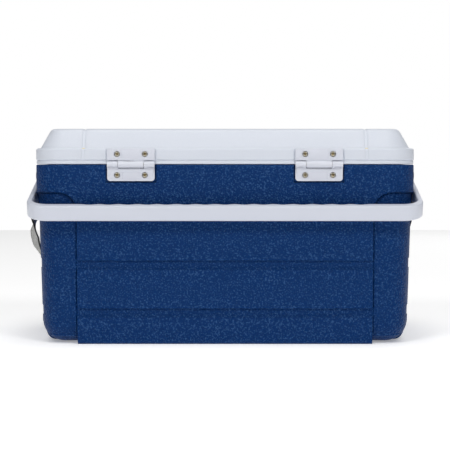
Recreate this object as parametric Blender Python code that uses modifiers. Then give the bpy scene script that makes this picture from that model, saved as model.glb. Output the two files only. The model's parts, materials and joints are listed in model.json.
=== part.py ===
"""A hard cooler chest: foamed body, hinged lid, swing-over bail handle and webbing strap.

Metres, +Z up. The origin is the middle of the underside. The hinges are at the back, +Y,
and the latch is at the front, -Y. The handle swings about an X axis through both side walls.
"""

import math

import bmesh
import bpy
from mathutils import Matrix, Vector

# ---- Driving dimensions -----------------------------------------------------------------
LENGTH = 0.500  # across the lid flange and the body band, along X
DEPTH = 0.300  # front to back, along Y
BODY_HEIGHT = 0.235  # floor to the parting line
LID_HEIGHT = 0.047  # parting line to the top of the lid
CORNER_RADIUS = 0.040  # corners of the chest, seen from above
WALL = 0.003  # moulded plastic walls
INSULATION = 0.0245  # outer face to storage cavity at the rim
FLOOR_INSULATION = 0.028
DRAFT = math.radians(1.7)  # the body narrows towards its base
HALF_X = LENGTH / 2
HALF_Y = DEPTH / 2

GAP = 0.0003  # between pieces that touch
RIM_GAP = 0.0006  # lid rim above body rim
FIT = 0.0005  # between moulded pieces that drop into each other

# Raised pads, grooves and corner pillars of the body
RECESS = 0.0035
PILLAR_SIDE = 0.057  # from each end of the chest to its raised panel
BAND_HEIGHT = 0.036  # proud band under the rim
ARCH_RADIUS = 0.025  # corner pillars end in an arch under the band
GROOVE_TOPS = (0.047, 0.110)
GROOVE_HEIGHT = 0.0125
GROOVE_DEPTH = 0.0031  # a little less than the pillars' recess
BASE_RADIUS = 0.020
FOOT_RADIUS = 0.007
FOOT_HEIGHT = 0.0015  # the pads stand this far below the pillars

# Lid
LIP_HEIGHT = 0.0055
FLANGE_HEIGHT = 0.0215  # top of the upright flange above the parting line
FLANGE_ROUND = 0.003
LID_GROOVE_X = 0.184
LID_GROOVE_WIDTH = 0.004
LID_GROOVE_DEPTH = 0.0015
PANEL_THICKNESS = 0.004
PANEL_LIFT = 0.001
PLUG_DEPTH = 0.009
PLUG_CLEARANCE = 0.002
GASKET_INSET = 0.0115
GASKET_WIDTH = 0.006
GASKET_HEIGHT = 0.0027

# Hinges, and the latch plates that match them
HINGE_X = 0.122
LEAF_WIDTH = 0.0614
LEAF_THICKNESS = 0.0032
LEAF_DROP = 0.0214  # below the hinge axis
LEAF_RISE = 0.0208  # above it
LEAF_CORNER = 0.004
POCKET_DEPTH = 0.0012
POCKET_MARGIN = 0.0014
BARREL_RADIUS = 0.0042
HINGE_PIN_RADIUS = 0.00175
KNUCKLE_WIDTH = 0.033
KNUCKLE_GAP = 0.0005
AXIS_OUT = 0.0035  # hinge axis behind the back wall
SCREW_X = 0.018  # screws either side of the hinge's middle
BODY_SCREW_Z = -0.0137
LID_SCREW_Z = 0.0136
SCREW_HEAD_RADIUS = 0.0036
SCREW_HEAD_HEIGHT = 0.0016
SCREW_RADIUS = 0.0016
SCREW_LENGTH = 0.0095
COUNTERBORE_DEPTH = 0.0018
BLOCK_DEPTH = 0.009
BLOCK_HEIGHT = 0.010

# Latch, in the middle of the front
LATCH_WIDTH = 0.046
LATCH_AXIS_Z = 0.0165
LATCH_LEVER_WIDTH = 0.030
LATCH_LEVER_THICKNESS = 0.0036
LATCH_PIN_RADIUS = 0.0014
LATCH_BARREL = 0.0030
LATCH_DROP = 0.038
KEEPER_Z = -0.0105

# Bail handle, in its own plane: the arms run out from the pivot to the bar
PIVOT_DROP = 0.015  # pivot below the parting line
ARM_GAP = 0.0016
ARM_THICKNESS = 0.0066
ARM_WIDTH = 0.0202
BAR_INNER = 0.163  # pivot to the inner face of the bar
BAR_THICKNESS = 0.0125
BAIL_CORNER = 0.029
HUB_RADIUS = 0.0145
HUB_PROUD = 0.0004  # the hub stands this far out of the arm on both sides
REST_ANGLE = math.radians(16.1)  # the bail rests this far below level
SCALLOPS = 15
SCALLOP_PITCH = 0.025
SCALLOP_DEPTH = 0.0024

# Pivot bolt and strap anchor
BOLT_COLLAR = 0.006
BOLT_HEAD = 0.0105
BOLT_HEAD_HEIGHT = 0.003
BOLT_SHANK = 0.0035
BOLT_DEPTH = 0.014
BOSS_RADIUS = 0.011
ANCHOR_THICKNESS = 0.003
ANCHOR_EYE = 0.0115
ANCHOR_DROP = 0.030
ANCHOR_HALF_WIDTH = 0.0165
ANCHOR_SLOT = (0.0135, 0.0028)  # half width and half height

# Strap
STRAP_WIDTH = 0.025
STRAP_THICKNESS = 0.0022
STRAP_RIGHT_ROUTE = (  # from the right anchor down to the front
    (HALF_X + 0.0152, -0.0002, 0.1690),
    (HALF_X + 0.0174, -0.0006, 0.1570),
    (HALF_X + 0.0192, -0.0055, 0.1430),
    (HALF_X + 0.0190, -0.0160, 0.1260),
    (HALF_X + 0.0145, -0.0290, 0.1090),
    (HALF_X + 0.0085, -0.0500, 0.0920),
    (HALF_X + 0.0060, -0.0780, 0.0750),
    (HALF_X + 0.0055, 0.0420 - HALF_Y, 0.0590),
    (HALF_X - 0.0010, 0.0080 - HALF_Y, 0.0440),
    (HALF_X - 0.0200, -0.0160 - HALF_Y, 0.0330),
    (HALF_X - 0.0500, -0.0290 - HALF_Y, 0.0235),
    (HALF_X - 0.1000, -0.0350 - HALF_Y, 0.0155),
    (HALF_X * 0.4, -0.0380 - HALF_Y, 0.0133),
    (HALF_X * 0.2, -0.0400 - HALF_Y, 0.0130),
)
STRAP_MIDDLE = (0.0, -0.0405 - HALF_Y, 0.0130)
STRAP_LEFT_ROUTE = (  # from the left anchor, which leans towards the front
    (-HALF_X - 0.0152, -0.0209, 0.1735),
    (-HALF_X - 0.0148, -0.0261, 0.1618),
    (-HALF_X - 0.0122, -0.0350, 0.1470),
    (-HALF_X - 0.0105, -0.0470, 0.1300),
    (-HALF_X - 0.0090, -0.0630, 0.1130),
    (-HALF_X - 0.0080, 0.0690 - HALF_Y, 0.0960),
    (-HALF_X - 0.0055, 0.0460 - HALF_Y, 0.0760),
    (-HALF_X + 0.0010, 0.0160 - HALF_Y, 0.0540),
    (-HALF_X + 0.0180, -0.0110 - HALF_Y, 0.0370),
    (-HALF_X + 0.0490, -0.0275 - HALF_Y, 0.0245),
    (-HALF_X + 0.1000, -0.0350 - HALF_Y, 0.0155),
    (-HALF_X * 0.4, -0.0380 - HALF_Y, 0.0133),
    (-HALF_X * 0.2, -0.0400 - HALF_Y, 0.0130),
)
LEFT_LEAN = math.radians(-24.0)  # the left anchor and strap end, turned about the pivot
STRAP_END_LEAN = 0.0045  # the stitched end leans out this far on its way down
ADJUSTER_AT = HALF_X - 0.0760  # X of the slide adjuster on the strap
ADJUSTER_SIZE = (0.0210, 0.0066, 0.0320)

CORNER_STEPS = 5  # a quarter turn of the chest's corners
ARC_STEPS = 3  # a quarter turn of a small round
ROUND_STEPS = 20  # a full turn of a pin, boss or barrel
SCREW_STEPS = 12

PIVOT_Z = BODY_HEIGHT - PIVOT_DROP
HUB_FACE = HALF_X + ARM_GAP + ARM_THICKNESS + HUB_PROUD
HINGE_Y = HALF_Y + AXIS_OUT
POCKET_FLOOR = HALF_Y - POCKET_DEPTH
LEAF_BACK = POCKET_FLOOR + GAP
LEAF_FACE = LEAF_BACK + LEAF_THICKNESS
PANEL_BOTTOM = BODY_HEIGHT + PANEL_LIFT
PANEL_TOP = PANEL_BOTTOM + PANEL_THICKNESS
FLANGE_UNDERSIDE = BODY_HEIGHT - WALL


def collection(name):
    """A new collection in the scene."""
    made = bpy.data.collections.new(name)
    bpy.context.scene.collection.children.link(made)
    return made


def material(name, colour, roughness, metallic=0.0):
    """A Principled material."""
    made = bpy.data.materials.new(name)
    made.use_nodes = True
    shader = made.node_tree.nodes["Principled BSDF"]
    shader.inputs["Base Color"].default_value = (*colour, 1.0)
    shader.inputs["Roughness"].default_value = roughness
    shader.inputs["Metallic"].default_value = metallic
    made.diffuse_color = (*colour, 1.0)
    return made


def object_from(name, shape, group, paint=None):
    """A new object that holds a bmesh, with its faces turned outwards."""
    bmesh.ops.recalc_face_normals(shape, faces=shape.faces)
    mesh = bpy.data.meshes.new(name)
    shape.to_mesh(mesh)
    shape.free()
    if paint is not None:
        mesh.materials.append(paint)
    made = bpy.data.objects.new(name, mesh)
    group.objects.link(made)
    return made


def cutter(made):
    """Mark an object as a cutting shape."""
    made.hide_render = True
    made.display_type = "WIRE"
    return made


def boolean(target, tool, operation="DIFFERENCE"):
    """Cut or join a piece with another shape."""
    cut = target.modifiers.new(f"{operation.title()} {tool.name}", "BOOLEAN")
    cut.operation = operation
    cut.object = tool
    cut.solver = "EXACT"


def bevel(target, width, segments=2, angle=40):
    """Round the sharp edges of a piece."""
    rounded = target.modifiers.new("Rounded edges", "BEVEL")
    rounded.width = width
    rounded.segments = segments
    rounded.limit_method = "ANGLE"
    rounded.angle_limit = math.radians(angle)


def smooth(target, angle=30):
    """Smooth shading with the sharp edges kept."""
    target.data.shade_smooth()
    target.data.set_sharp_from_angle(angle=math.radians(angle))


def plan(inset, z, half_x=HALF_X, half_y=HALF_Y, radius=CORNER_RADIUS):
    """A level rounded rectangle that lies inset within the chest's outline."""
    round_by = max(radius - inset, 0.004)
    mid_x, mid_y = half_x - inset - round_by, half_y - inset - round_by
    points = []
    for side_x, side_y, start in ((1, 1, 0), (-1, 1, 90), (-1, -1, 180), (1, -1, 270)):
        for step in range(CORNER_STEPS + 1):
            turn = math.radians(start + 90 * step / CORNER_STEPS)
            points.append(
                (
                    side_x * mid_x + round_by * math.cos(turn),
                    side_y * mid_y + round_by * math.sin(turn),
                    z,
                )
            )
    return points


def loft(name, levels, group, paint=None):
    """A closed solid through level outlines, each an (inset, z), listed bottom to top."""
    shape = bmesh.new()
    rings = [[shape.verts.new(point) for point in plan(*level)] for level in levels]
    for low, high in zip(rings, rings[1:]):
        for i in range(len(low)):
            j = (i + 1) % len(low)
            shape.faces.new((low[i], low[j], high[j], high[i]))
    shape.faces.new(rings[0])
    shape.faces.new(rings[-1])
    return object_from(name, shape, group, paint)


def prism(name, outline, low, high, turn, group, paint=None):
    """An outline drawn in X and Z, extruded along Y from low to high, then turned."""
    shape = bmesh.new()
    near = [shape.verts.new((x, low, z)) for x, z in outline]
    far = [shape.verts.new((x, high, z)) for x, z in outline]
    shape.faces.new(near)
    shape.faces.new(far)
    for i in range(len(near)):
        j = (i + 1) % len(near)
        shape.faces.new((near[i], near[j], far[j], far[i]))
    if turn is not None:
        bmesh.ops.transform(shape, matrix=turn, verts=shape.verts)
    return object_from(name, shape, group, paint)


def box(name, low, high, group, paint=None):
    """A box between two corners."""
    shape = bmesh.new()
    size = Vector(high) - Vector(low)
    middle = (Vector(high) + Vector(low)) / 2
    bmesh.ops.create_cube(
        shape, size=1, matrix=Matrix.Translation(middle) @ Matrix.Diagonal((*size, 1))
    )
    return object_from(name, shape, group, paint)


def rod(name, start, end, radius, group, paint=None, steps=ROUND_STEPS):
    """A cylinder between two points."""
    start, end = Vector(start), Vector(end)
    along = end - start
    turn = along.to_track_quat("Z", "Y").to_matrix().to_4x4()
    shape = bmesh.new()
    bmesh.ops.create_cone(
        shape,
        cap_ends=True,
        segments=steps,
        radius1=radius,
        radius2=radius,
        depth=along.length,
        matrix=Matrix.Translation((start + end) / 2) @ turn,
    )
    return object_from(name, shape, group, paint)


def turned(name, profile, place, direction, group, paint, steps=ROUND_STEPS):
    """A turned piece: (radius, height) points from its top down, spun about its own Z."""
    shape = bmesh.new()
    points = [shape.verts.new((radius, 0, height)) for radius, height in profile]
    for one, two in zip(points, points[1:]):
        shape.edges.new((one, two))
    mesh = bpy.data.meshes.new(name)
    shape.to_mesh(mesh)
    shape.free()
    mesh.materials.append(paint)
    made = bpy.data.objects.new(name, mesh)
    group.objects.link(made)
    made.location = place
    made.rotation_euler = Vector(direction).to_track_quat("Z", "Y").to_euler()
    spin = made.modifiers.new("Turn", "SCREW")
    spin.steps = spin.render_steps = steps
    spin.use_merge_vertices = True
    spin.merge_threshold = 0.00001
    spin.use_smooth_shade = True
    return made


def arc(centre_x, centre_z, radius, start, end, steps=ARC_STEPS):
    """Points of an arc in the XZ plane, angles in degrees."""
    turns = [math.radians(start + (end - start) * i / steps) for i in range(steps + 1)]
    return [(centre_x + radius * math.cos(t), centre_z + radius * math.sin(t)) for t in turns]


def draft_inset(z):
    """How far the draft brings the body's faces in at a height below the band."""
    return max(BODY_HEIGHT - BAND_HEIGHT - z, 0.0) * math.tan(DRAFT)


def rounded_base(radius, inset, bottom):
    """Levels of a rounded bottom edge, from the floor face up to the wall."""
    levels = []
    for x, z in arc(inset + radius, bottom + radius, radius, 270, 180, 5):
        levels.append((x + draft_inset(bottom + radius), z))
    return levels


def pad_levels():
    """The body at the level of its band and raised pads, with the grooves between them."""
    levels = rounded_base(FOOT_RADIUS, 0, 0)
    for top in GROOVE_TOPS:
        low = top - GROOVE_HEIGHT
        floor = low + GROOVE_DEPTH
        levels += [
            (draft_inset(low), low),
            (draft_inset(floor) + GROOVE_DEPTH, floor),
            (draft_inset(top) + GROOVE_DEPTH, top - GROOVE_DEPTH / 4),
            (draft_inset(top) + GROOVE_DEPTH / 3, top),
            (draft_inset(top), top + GROOVE_DEPTH / 4),
        ]
    levels.append((0, BODY_HEIGHT - BAND_HEIGHT))
    for x, z in arc(WALL / 2, BODY_HEIGHT - WALL / 2, WALL / 2, 180, 90, 3):
        levels.append((x, z))
    return levels


def pillar_levels():
    """The body at the level of its corner pillars."""
    levels = rounded_base(BASE_RADIUS, RECESS, FOOT_HEIGHT)
    levels += [(RECESS, BODY_HEIGHT - BAND_HEIGHT), (RECESS, BODY_HEIGHT + WALL)]
    return levels


def cavity_levels(extra):
    """The space inside the outer shell, or what fills it when extra is a clearance."""
    bottom = FOOT_HEIGHT + WALL + extra
    inset = RECESS + WALL + extra
    band = BODY_HEIGHT - BAND_HEIGHT + WALL
    levels = rounded_base(BASE_RADIUS - WALL - extra, inset, bottom)
    levels += [(inset, band - WALL), (inset, band), (WALL + extra, band + WALL)]
    return levels


def liner_levels(extra, top):
    """The storage cavity, grown by extra."""
    bottom = FLOOR_INSULATION - extra
    inset = INSULATION - extra
    levels = rounded_base(0.012 + extra, inset, bottom)
    levels += [(inset, BODY_HEIGHT - BAND_HEIGHT), (inset, top)]
    return levels


def lid_levels(shrink, bottom):
    """The lid's outside: lip, upright flange, ledge, slope and top, shrunk by an offset."""
    base = BODY_HEIGHT
    flange = base + FLANGE_HEIGHT
    top = base + LID_HEIGHT
    levels = [(shrink, bottom)]
    for x, z in arc(FLANGE_ROUND, flange - FLANGE_ROUND, FLANGE_ROUND, 180, 90, 3):
        levels.append((x + shrink, z))
    levels += [
        (0.0058 + shrink, flange + 0.0003),
        (0.0070 + shrink, flange + 0.0014),
        (0.0180 + shrink, top - 0.0048 - shrink / 2),
        (0.0194 + shrink, top - 0.0022 - shrink),
        (0.0216 + shrink, top - 0.0006 - shrink),
        (0.0250 + shrink, top - shrink),
    ]
    if shrink:
        levels = [(x, z if z < flange - FLANGE_ROUND else min(z, top - shrink)) for x, z in levels]
    return levels


def corner_windows(group):
    """The zones at the four corners in which the pillars lie back, with arched tops."""
    top = BODY_HEIGHT - BAND_HEIGHT
    outside = 0.030
    made = []
    for along_x in (True, False):
        half, other = (HALF_X, HALF_Y) if along_x else (HALF_Y, HALF_X)
        edge = half - PILLAR_SIDE
        start = other - PILLAR_SIDE + ARCH_RADIUS
        outline = [(edge, -outside)]
        outline += arc(edge + ARCH_RADIUS, top - ARCH_RADIUS, ARCH_RADIUS, 180, 90, 6)
        outline += [(half + outside, top), (half + outside, -outside)]
        for side_a in (1, -1):
            for side_b in (1, -1):
                flipped = [(side_a * x, z) for x, z in outline]
                near, far = sorted((side_b * start, side_b * (other + outside)))
                turn = None if along_x else Matrix.Rotation(-math.pi / 2, 4, "Z")
                name = f"window_{'x' if along_x else 'y'}_{side_a}_{side_b}"
                made.append(cutter(prism(name, flipped, near, far, turn, group)))
    return made


def screw_places():
    """Each screw: its name, where its head sits, and which way it points."""
    places = []
    for side, sign in (("left", -1), ("right", 1)):
        for leaf, height in (("body", BODY_SCREW_Z), ("lid", LID_SCREW_Z)):
            for index, offset in (("a", -SCREW_X), ("b", SCREW_X)):
                x = sign * HINGE_X + offset
                places.append(
                    (f"hinge_{side}_{leaf}_screw_{index}", x, LEAF_FACE, BODY_HEIGHT + height, 1)
                )
    for part, height in (("keeper", KEEPER_Z), ("base", LATCH_AXIS_Z - 0.0035)):
        for index, sign in (("a", -1), ("b", 1)):
            x = sign * (LATCH_WIDTH / 2 - 0.0040)
            places.append(
                (f"latch_{part}_screw_{index}", x, -LEAF_FACE, BODY_HEIGHT + height, -1)
            )
    return places


def screw_bores(radius, inner, group, name):
    """Rods along Y at every screw, for holes in whatever the screws pass through."""
    made = []
    for screw, x, face, z, out in screw_places():
        start = face + out * 0.002
        end = face - out * inner
        bore = rod(f"{name}_{screw}", (x, start, z), (x, end, z), radius, group, steps=SCREW_STEPS)
        made.append(cutter(bore))
    return made


def mounts():
    """Each plate seat on the walls: middle x, half width, lowest z, highest z, side of Y."""
    low, high = BODY_HEIGHT - LEAF_DROP, BODY_HEIGHT + LEAF_RISE
    return [
        (-HINGE_X, LEAF_WIDTH / 2, low, high, 1),
        (HINGE_X, LEAF_WIDTH / 2, low, high, 1),
        (0.0, LATCH_WIDTH / 2, low, high, -1),
    ]


def seat_pockets(group, name, low_limit, high_limit):
    """Shallow pockets in the walls in which the hinge and latch plates sit."""
    made = []
    for x, half, low, high, out in mounts():
        low = max(low - POCKET_MARGIN, low_limit)
        high = min(high + POCKET_MARGIN, high_limit)
        near, far = sorted((out * POCKET_FLOOR, out * (HALF_Y + 0.02)))
        size = half + POCKET_MARGIN
        made.append(
            cutter(box(f"{name}_{x:.3f}", (x - size, near, low), (x + size, far, high), group))
        )
    return made


def blocks(group, name, middle, extra):
    """Solid blocks behind the wall that take the screws, grown by a clearance."""
    made = []
    for x, half, _, _, out in mounts():
        height = middle if out > 0 else (KEEPER_Z if middle < 0 else LATCH_AXIS_Z - 0.0035)
        z = BODY_HEIGHT + height
        inner = out * (HALF_Y - WALL - BLOCK_DEPTH - extra)
        outer = out * (HALF_Y - WALL / 2)
        low_y, high_y = sorted((inner, outer))
        reach, tall = half - 0.001 + extra, BLOCK_HEIGHT / 2 + extra
        lowest, highest = (x - reach, low_y, z - tall), (x + reach, high_y, z + tall)
        made.append(cutter(box(f"{name}_{x:.3f}", lowest, highest, group)))
    return made


def pivot_rods(group, name, radius, inner, outer):
    """Rods along X on the handle's axis, one on each side."""
    return [
        cutter(
            rod(f"{name}_{sign}", (sign * inner, 0, PIVOT_Z), (sign * outer, 0, PIVOT_Z), radius, group)
        )
        for sign in (1, -1)
    ]


def build_body(parts, cutters, paints):
    """Outer shell, foam and liner."""
    shell = loft("body_outer_shell", pad_levels(), parts, paints["body"])
    pillars = cutter(loft("pillar_core", pillar_levels(), cutters))
    for window in corner_windows(cutters):
        boolean(window, pillars)
        boolean(shell, window)
    boolean(shell, cutter(loft("shell_cavity", cavity_levels(0) + [(WALL, BODY_HEIGHT + 0.02)], cutters)))
    for tool in seat_pockets(cutters, "body_pocket", 0, BODY_HEIGHT + 0.02):
        boolean(shell, tool)
    for block in blocks(cutters, "body_block", BODY_SCREW_Z, 0):
        boolean(shell, block, "UNION")
    for boss in pivot_rods(cutters, "boss", BOSS_RADIUS, HALF_X - WALL - 0.013, HALF_X - 0.001):
        boolean(shell, boss, "UNION")
    for bore in screw_bores(SCREW_RADIUS + GAP, SCREW_LENGTH + 0.001, cutters, "body_bore"):
        boolean(shell, bore)
    hole = BOLT_SHANK + GAP
    for tool in pivot_rods(cutters, "bolt_bore", hole, HALF_X - BOLT_DEPTH - GAP, HALF_X + 0.01):
        boolean(shell, tool)
    smooth(shell)

    top = FLANGE_UNDERSIDE - FIT
    foam = loft("body_foam", cavity_levels(GAP) + [(WALL + GAP, top)], parts, paints["foam"])
    boolean(foam, cutter(loft("foam_cavity", liner_levels(WALL + GAP, BODY_HEIGHT + 0.01), cutters)))
    for tool in blocks(cutters, "foam_block", BODY_SCREW_Z, GAP):
        boolean(foam, tool)
    for tool in pivot_rods(cutters, "foam_boss", BOSS_RADIUS + GAP, HALF_X - WALL - 0.0133, HALF_X + 0.01):
        boolean(foam, tool)
    smooth(foam)

    liner = loft("body_inner_liner", liner_levels(WALL, BODY_HEIGHT - WALL / 2), parts, paints["liner"])
    flange = cutter(
        loft("liner_flange", [(WALL + FIT, FLANGE_UNDERSIDE), (WALL + FIT, BODY_HEIGHT)], cutters)
    )
    boolean(liner, flange, "UNION")
    boolean(liner, cutter(loft("storage_space", liner_levels(0, BODY_HEIGHT + 0.01), cutters)))
    smooth(liner)


def build_lid(parts, cutters, paints, hinge_frame):
    """Lid shell, foam, inner panel and gasket, all carried by the hinge frame."""
    rim = BODY_HEIGHT + RIM_GAP
    lip = BODY_HEIGHT + LIP_HEIGHT
    outside = lid_levels(0, lip + 0.0008)
    levels = [(0.0012, rim), (0.0005, rim + 0.0008), (0.0005, lip - 0.0006), (0.0012, lip)]
    shell = loft("lid_outer_shell", levels + outside, parts, paints["lid"])
    inside = cutter(loft("lid_inside", lid_levels(WALL, rim - 0.01), cutters))
    boolean(shell, inside)
    skin = cutter(loft("lid_groove_floor", lid_levels(LID_GROOVE_DEPTH, rim - 0.02), cutters))
    for sign in (1, -1):
        x, half = sign * LID_GROOVE_X, LID_GROOVE_WIDTH / 2
        slab = cutter(
            box(
                f"lid_groove_{sign}",
                (x - half, -HALF_Y - 0.01, lip + 0.0008),
                (x + half, HALF_Y + 0.01, BODY_HEIGHT + LID_HEIGHT + 0.01),
                cutters,
            )
        )
        boolean(slab, skin)
        boolean(shell, slab)
    for tool in seat_pockets(cutters, "lid_pocket", rim - 0.01, BODY_HEIGHT + LEAF_RISE + POCKET_MARGIN):
        boolean(shell, tool)
    for block in blocks(cutters, "lid_block", LID_SCREW_Z, 0):
        boolean(shell, block, "UNION")
    for bore in screw_bores(SCREW_RADIUS + GAP, SCREW_LENGTH + 0.001, cutters, "lid_bore"):
        boolean(shell, bore)
    smooth(shell)

    foam = loft(
        "lid_foam", lid_levels(WALL + GAP, PANEL_TOP + GAP), parts, paints["foam"]
    )
    for tool in blocks(cutters, "lid_foam_block", LID_SCREW_Z, GAP):
        boolean(foam, tool)
    smooth(foam)

    panel = loft(
        "lid_inner_panel",
        [(WALL + FIT, PANEL_BOTTOM), (WALL + FIT, PANEL_TOP)],
        parts,
        paints["liner"],
    )
    plug = INSULATION + PLUG_CLEARANCE
    boolean(
        panel,
        cutter(
            loft(
                "lid_plug",
                [
                    (plug + 0.004, BODY_HEIGHT - PLUG_DEPTH),
                    (plug + 0.0012, BODY_HEIGHT - PLUG_DEPTH + 0.0014),
                    (plug, PANEL_BOTTOM + PANEL_THICKNESS / 2),
                ],
                cutters,
            )
        ),
        "UNION",
    )
    low, high = BODY_HEIGHT + GAP, BODY_HEIGHT + GAP + GASKET_HEIGHT
    width = GASKET_WIDTH + 2 * GAP
    channel = ring("gasket_channel", GASKET_INSET, width, PANEL_BOTTOM - 0.005, high + GAP, cutters)
    boolean(panel, cutter(channel))
    smooth(panel)

    gasket = ring("lid_gasket", GASKET_INSET + GAP, GASKET_WIDTH, low, high, parts, paints["gasket"])
    smooth(gasket)
    for piece in (shell, foam, panel, gasket):
        carried(piece, hinge_frame)


def ring(name, inset, width, low, high, group, paint=None):
    """A level rectangular ring with rounded corners."""
    shape = bmesh.new()
    loops = [
        [shape.verts.new(point) for point in plan(side, z)]
        for side, z in ((inset, low), (inset, high), (inset + width, high), (inset + width, low))
    ]
    for one, two in zip(loops, loops[1:] + loops[:1]):
        for i in range(len(one)):
            j = (i + 1) % len(one)
            shape.faces.new((one[i], one[j], two[j], two[i]))
    return object_from(name, shape, group, paint)


def carried(piece, frame):
    """Parent a piece to the empty on its joint's axis, where it stands."""
    piece.parent = frame
    piece.matrix_parent_inverse = frame.matrix_world.inverted()


def axis_frame(name, place, group):
    """An empty on a joint's axis."""
    made = bpy.data.objects.new(name, None)
    made.empty_display_size = 0.03
    made.location = place
    group.objects.link(made)
    bpy.context.view_layer.update()
    return made


def rounded_outline(low_x, high_x, low_z, high_z, radius, rounded):
    """A rectangle in X and Z, with the named corners rounded."""
    corners = (
        ("low_left", low_x + radius, low_z + radius, 180, low_x, low_z),
        ("low_right", high_x - radius, low_z + radius, 270, high_x, low_z),
        ("high_right", high_x - radius, high_z - radius, 0, high_x, high_z),
        ("high_left", low_x + radius, high_z - radius, 90, low_x, high_z),
    )
    points = []
    for name, mid_x, mid_z, start, x, z in corners:
        if name in rounded:
            points += arc(mid_x, mid_z, radius, start, start + 90)
        else:
            points.append((x, z))
    return points


def leaf_screw_cuts(leaf, screws, cutters):
    """Shank hole and counterbore for each screw through a plate."""
    for screw, x, face, z, out in screws:
        start = (x, face + out * 0.005, z)
        for part, depth, radius, steps in (
            ("hole", 0.008, SCREW_RADIUS + GAP, SCREW_STEPS),
            ("seat", COUNTERBORE_DEPTH, SCREW_HEAD_RADIUS + FIT, 16),
        ):
            end = (x, face - out * depth, z)
            boolean(leaf, cutter(rod(f"{screw}_{part}", start, end, radius, cutters, steps=steps)))


def build_hinge(side, sign, parts, cutters, paints, hinge_frame):
    """One hinge: body leaf, lid leaf and pin."""
    x = sign * HINGE_X
    half = LEAF_WIDTH / 2
    knuckle = KNUCKLE_WIDTH / 2
    low, high = BODY_HEIGHT - LEAF_DROP, BODY_HEIGHT + LEAF_RISE
    axis = (HINGE_Y, BODY_HEIGHT)
    slot = knuckle + KNUCKLE_GAP
    swing = BARREL_RADIUS + 0.0009
    screws = screw_places()

    outline = rounded_outline(x - half, x + half, low, BODY_HEIGHT, LEAF_CORNER, ("low_left", "low_right"))
    body_leaf = prism(f"hinge_{side}_body_leaf", outline, LEAF_BACK, LEAF_FACE, None, parts, paints["hinge"])
    barrel = rod(f"{side}_body_barrel", (x - half, *axis), (x + half, *axis), BARREL_RADIUS, cutters)
    boolean(body_leaf, cutter(barrel), "UNION")
    notch = box(
        f"{side}_knuckle_notch",
        (x - slot, LEAF_BACK - 0.005, BODY_HEIGHT - swing - 0.0008),
        (x + slot, HINGE_Y + 0.01, BODY_HEIGHT + 0.01),
        cutters,
    )
    boolean(body_leaf, cutter(notch))
    field = box(
        f"{side}_body_field",
        (x - 0.0105, LEAF_FACE - 0.0008, low + 0.0035),
        (x + 0.0105, LEAF_FACE + 0.01, BODY_HEIGHT - swing - 0.0038),
        cutters,
    )
    boolean(body_leaf, cutter(field))
    leaf_screw_cuts(body_leaf, [s for s in screws if s[0].startswith(f"hinge_{side}_body")], cutters)

    split = BODY_HEIGHT + swing - 0.0004
    outline = rounded_outline(x - half, x + half, split, high, 0.0015, ("high_left", "high_right"))
    lid_leaf = prism(f"hinge_{side}_lid_leaf", outline, LEAF_BACK, LEAF_FACE, None, parts, paints["hinge"])
    tab = box(
        f"{side}_knuckle_tab",
        (x - knuckle, LEAF_BACK, BODY_HEIGHT),
        (x + knuckle, LEAF_FACE, split + 0.003),
        cutters,
    )
    boolean(lid_leaf, cutter(tab), "UNION")
    centre = rod(f"{side}_lid_barrel", (x - knuckle, *axis), (x + knuckle, *axis), BARREL_RADIUS, cutters)
    boolean(lid_leaf, cutter(centre), "UNION")
    field = box(
        f"{side}_lid_field",
        (x - 0.0125, LEAF_FACE - 0.0008, split + 0.0025),
        (x + 0.0125, LEAF_FACE + 0.01, high - 0.0035),
        cutters,
    )
    boolean(lid_leaf, cutter(field))
    leaf_screw_cuts(lid_leaf, [s for s in screws if s[0].startswith(f"hinge_{side}_lid")], cutters)

    start, end = (x - half - 0.01, *axis), (x + half + 0.01, *axis)
    bore = rod(f"{side}_pin_bore", start, end, HINGE_PIN_RADIUS + GAP, cutters, steps=16)
    for leaf in (body_leaf, lid_leaf):
        boolean(leaf, cutter(bore))
        smooth(leaf)
    carried(lid_leaf, hinge_frame)
    start, end = (x - half + FIT, *axis), (x + half - FIT, *axis)
    pin = rod(f"hinge_{side}_pin", start, end, HINGE_PIN_RADIUS, parts, paints["steel"], 16)
    smooth(pin)


def build_screws(parts, paints, hinge_frame):
    """Every screw: a pan head with a shank, in its counterbore."""
    head_top = -(COUNTERBORE_DEPTH - GAP) + SCREW_HEAD_HEIGHT
    head_low = head_top - SCREW_HEAD_HEIGHT
    profile = [
        (0.0, head_top),
        (0.8 * SCREW_HEAD_RADIUS, head_top - 0.0003),
        (SCREW_HEAD_RADIUS, head_top - 0.0010),
        (SCREW_HEAD_RADIUS, head_low),
        (SCREW_RADIUS, head_low),
        (SCREW_RADIUS, -SCREW_LENGTH + 0.0012),
        (0.0, -SCREW_LENGTH),
    ]
    for name, x, face, z, out in screw_places():
        screw = turned(name, profile, (x, face, z), (0, out, 0), parts, paints["steel"], SCREW_STEPS)
        if "_lid_" in name or "_base_" in name:
            carried(screw, hinge_frame)


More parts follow.
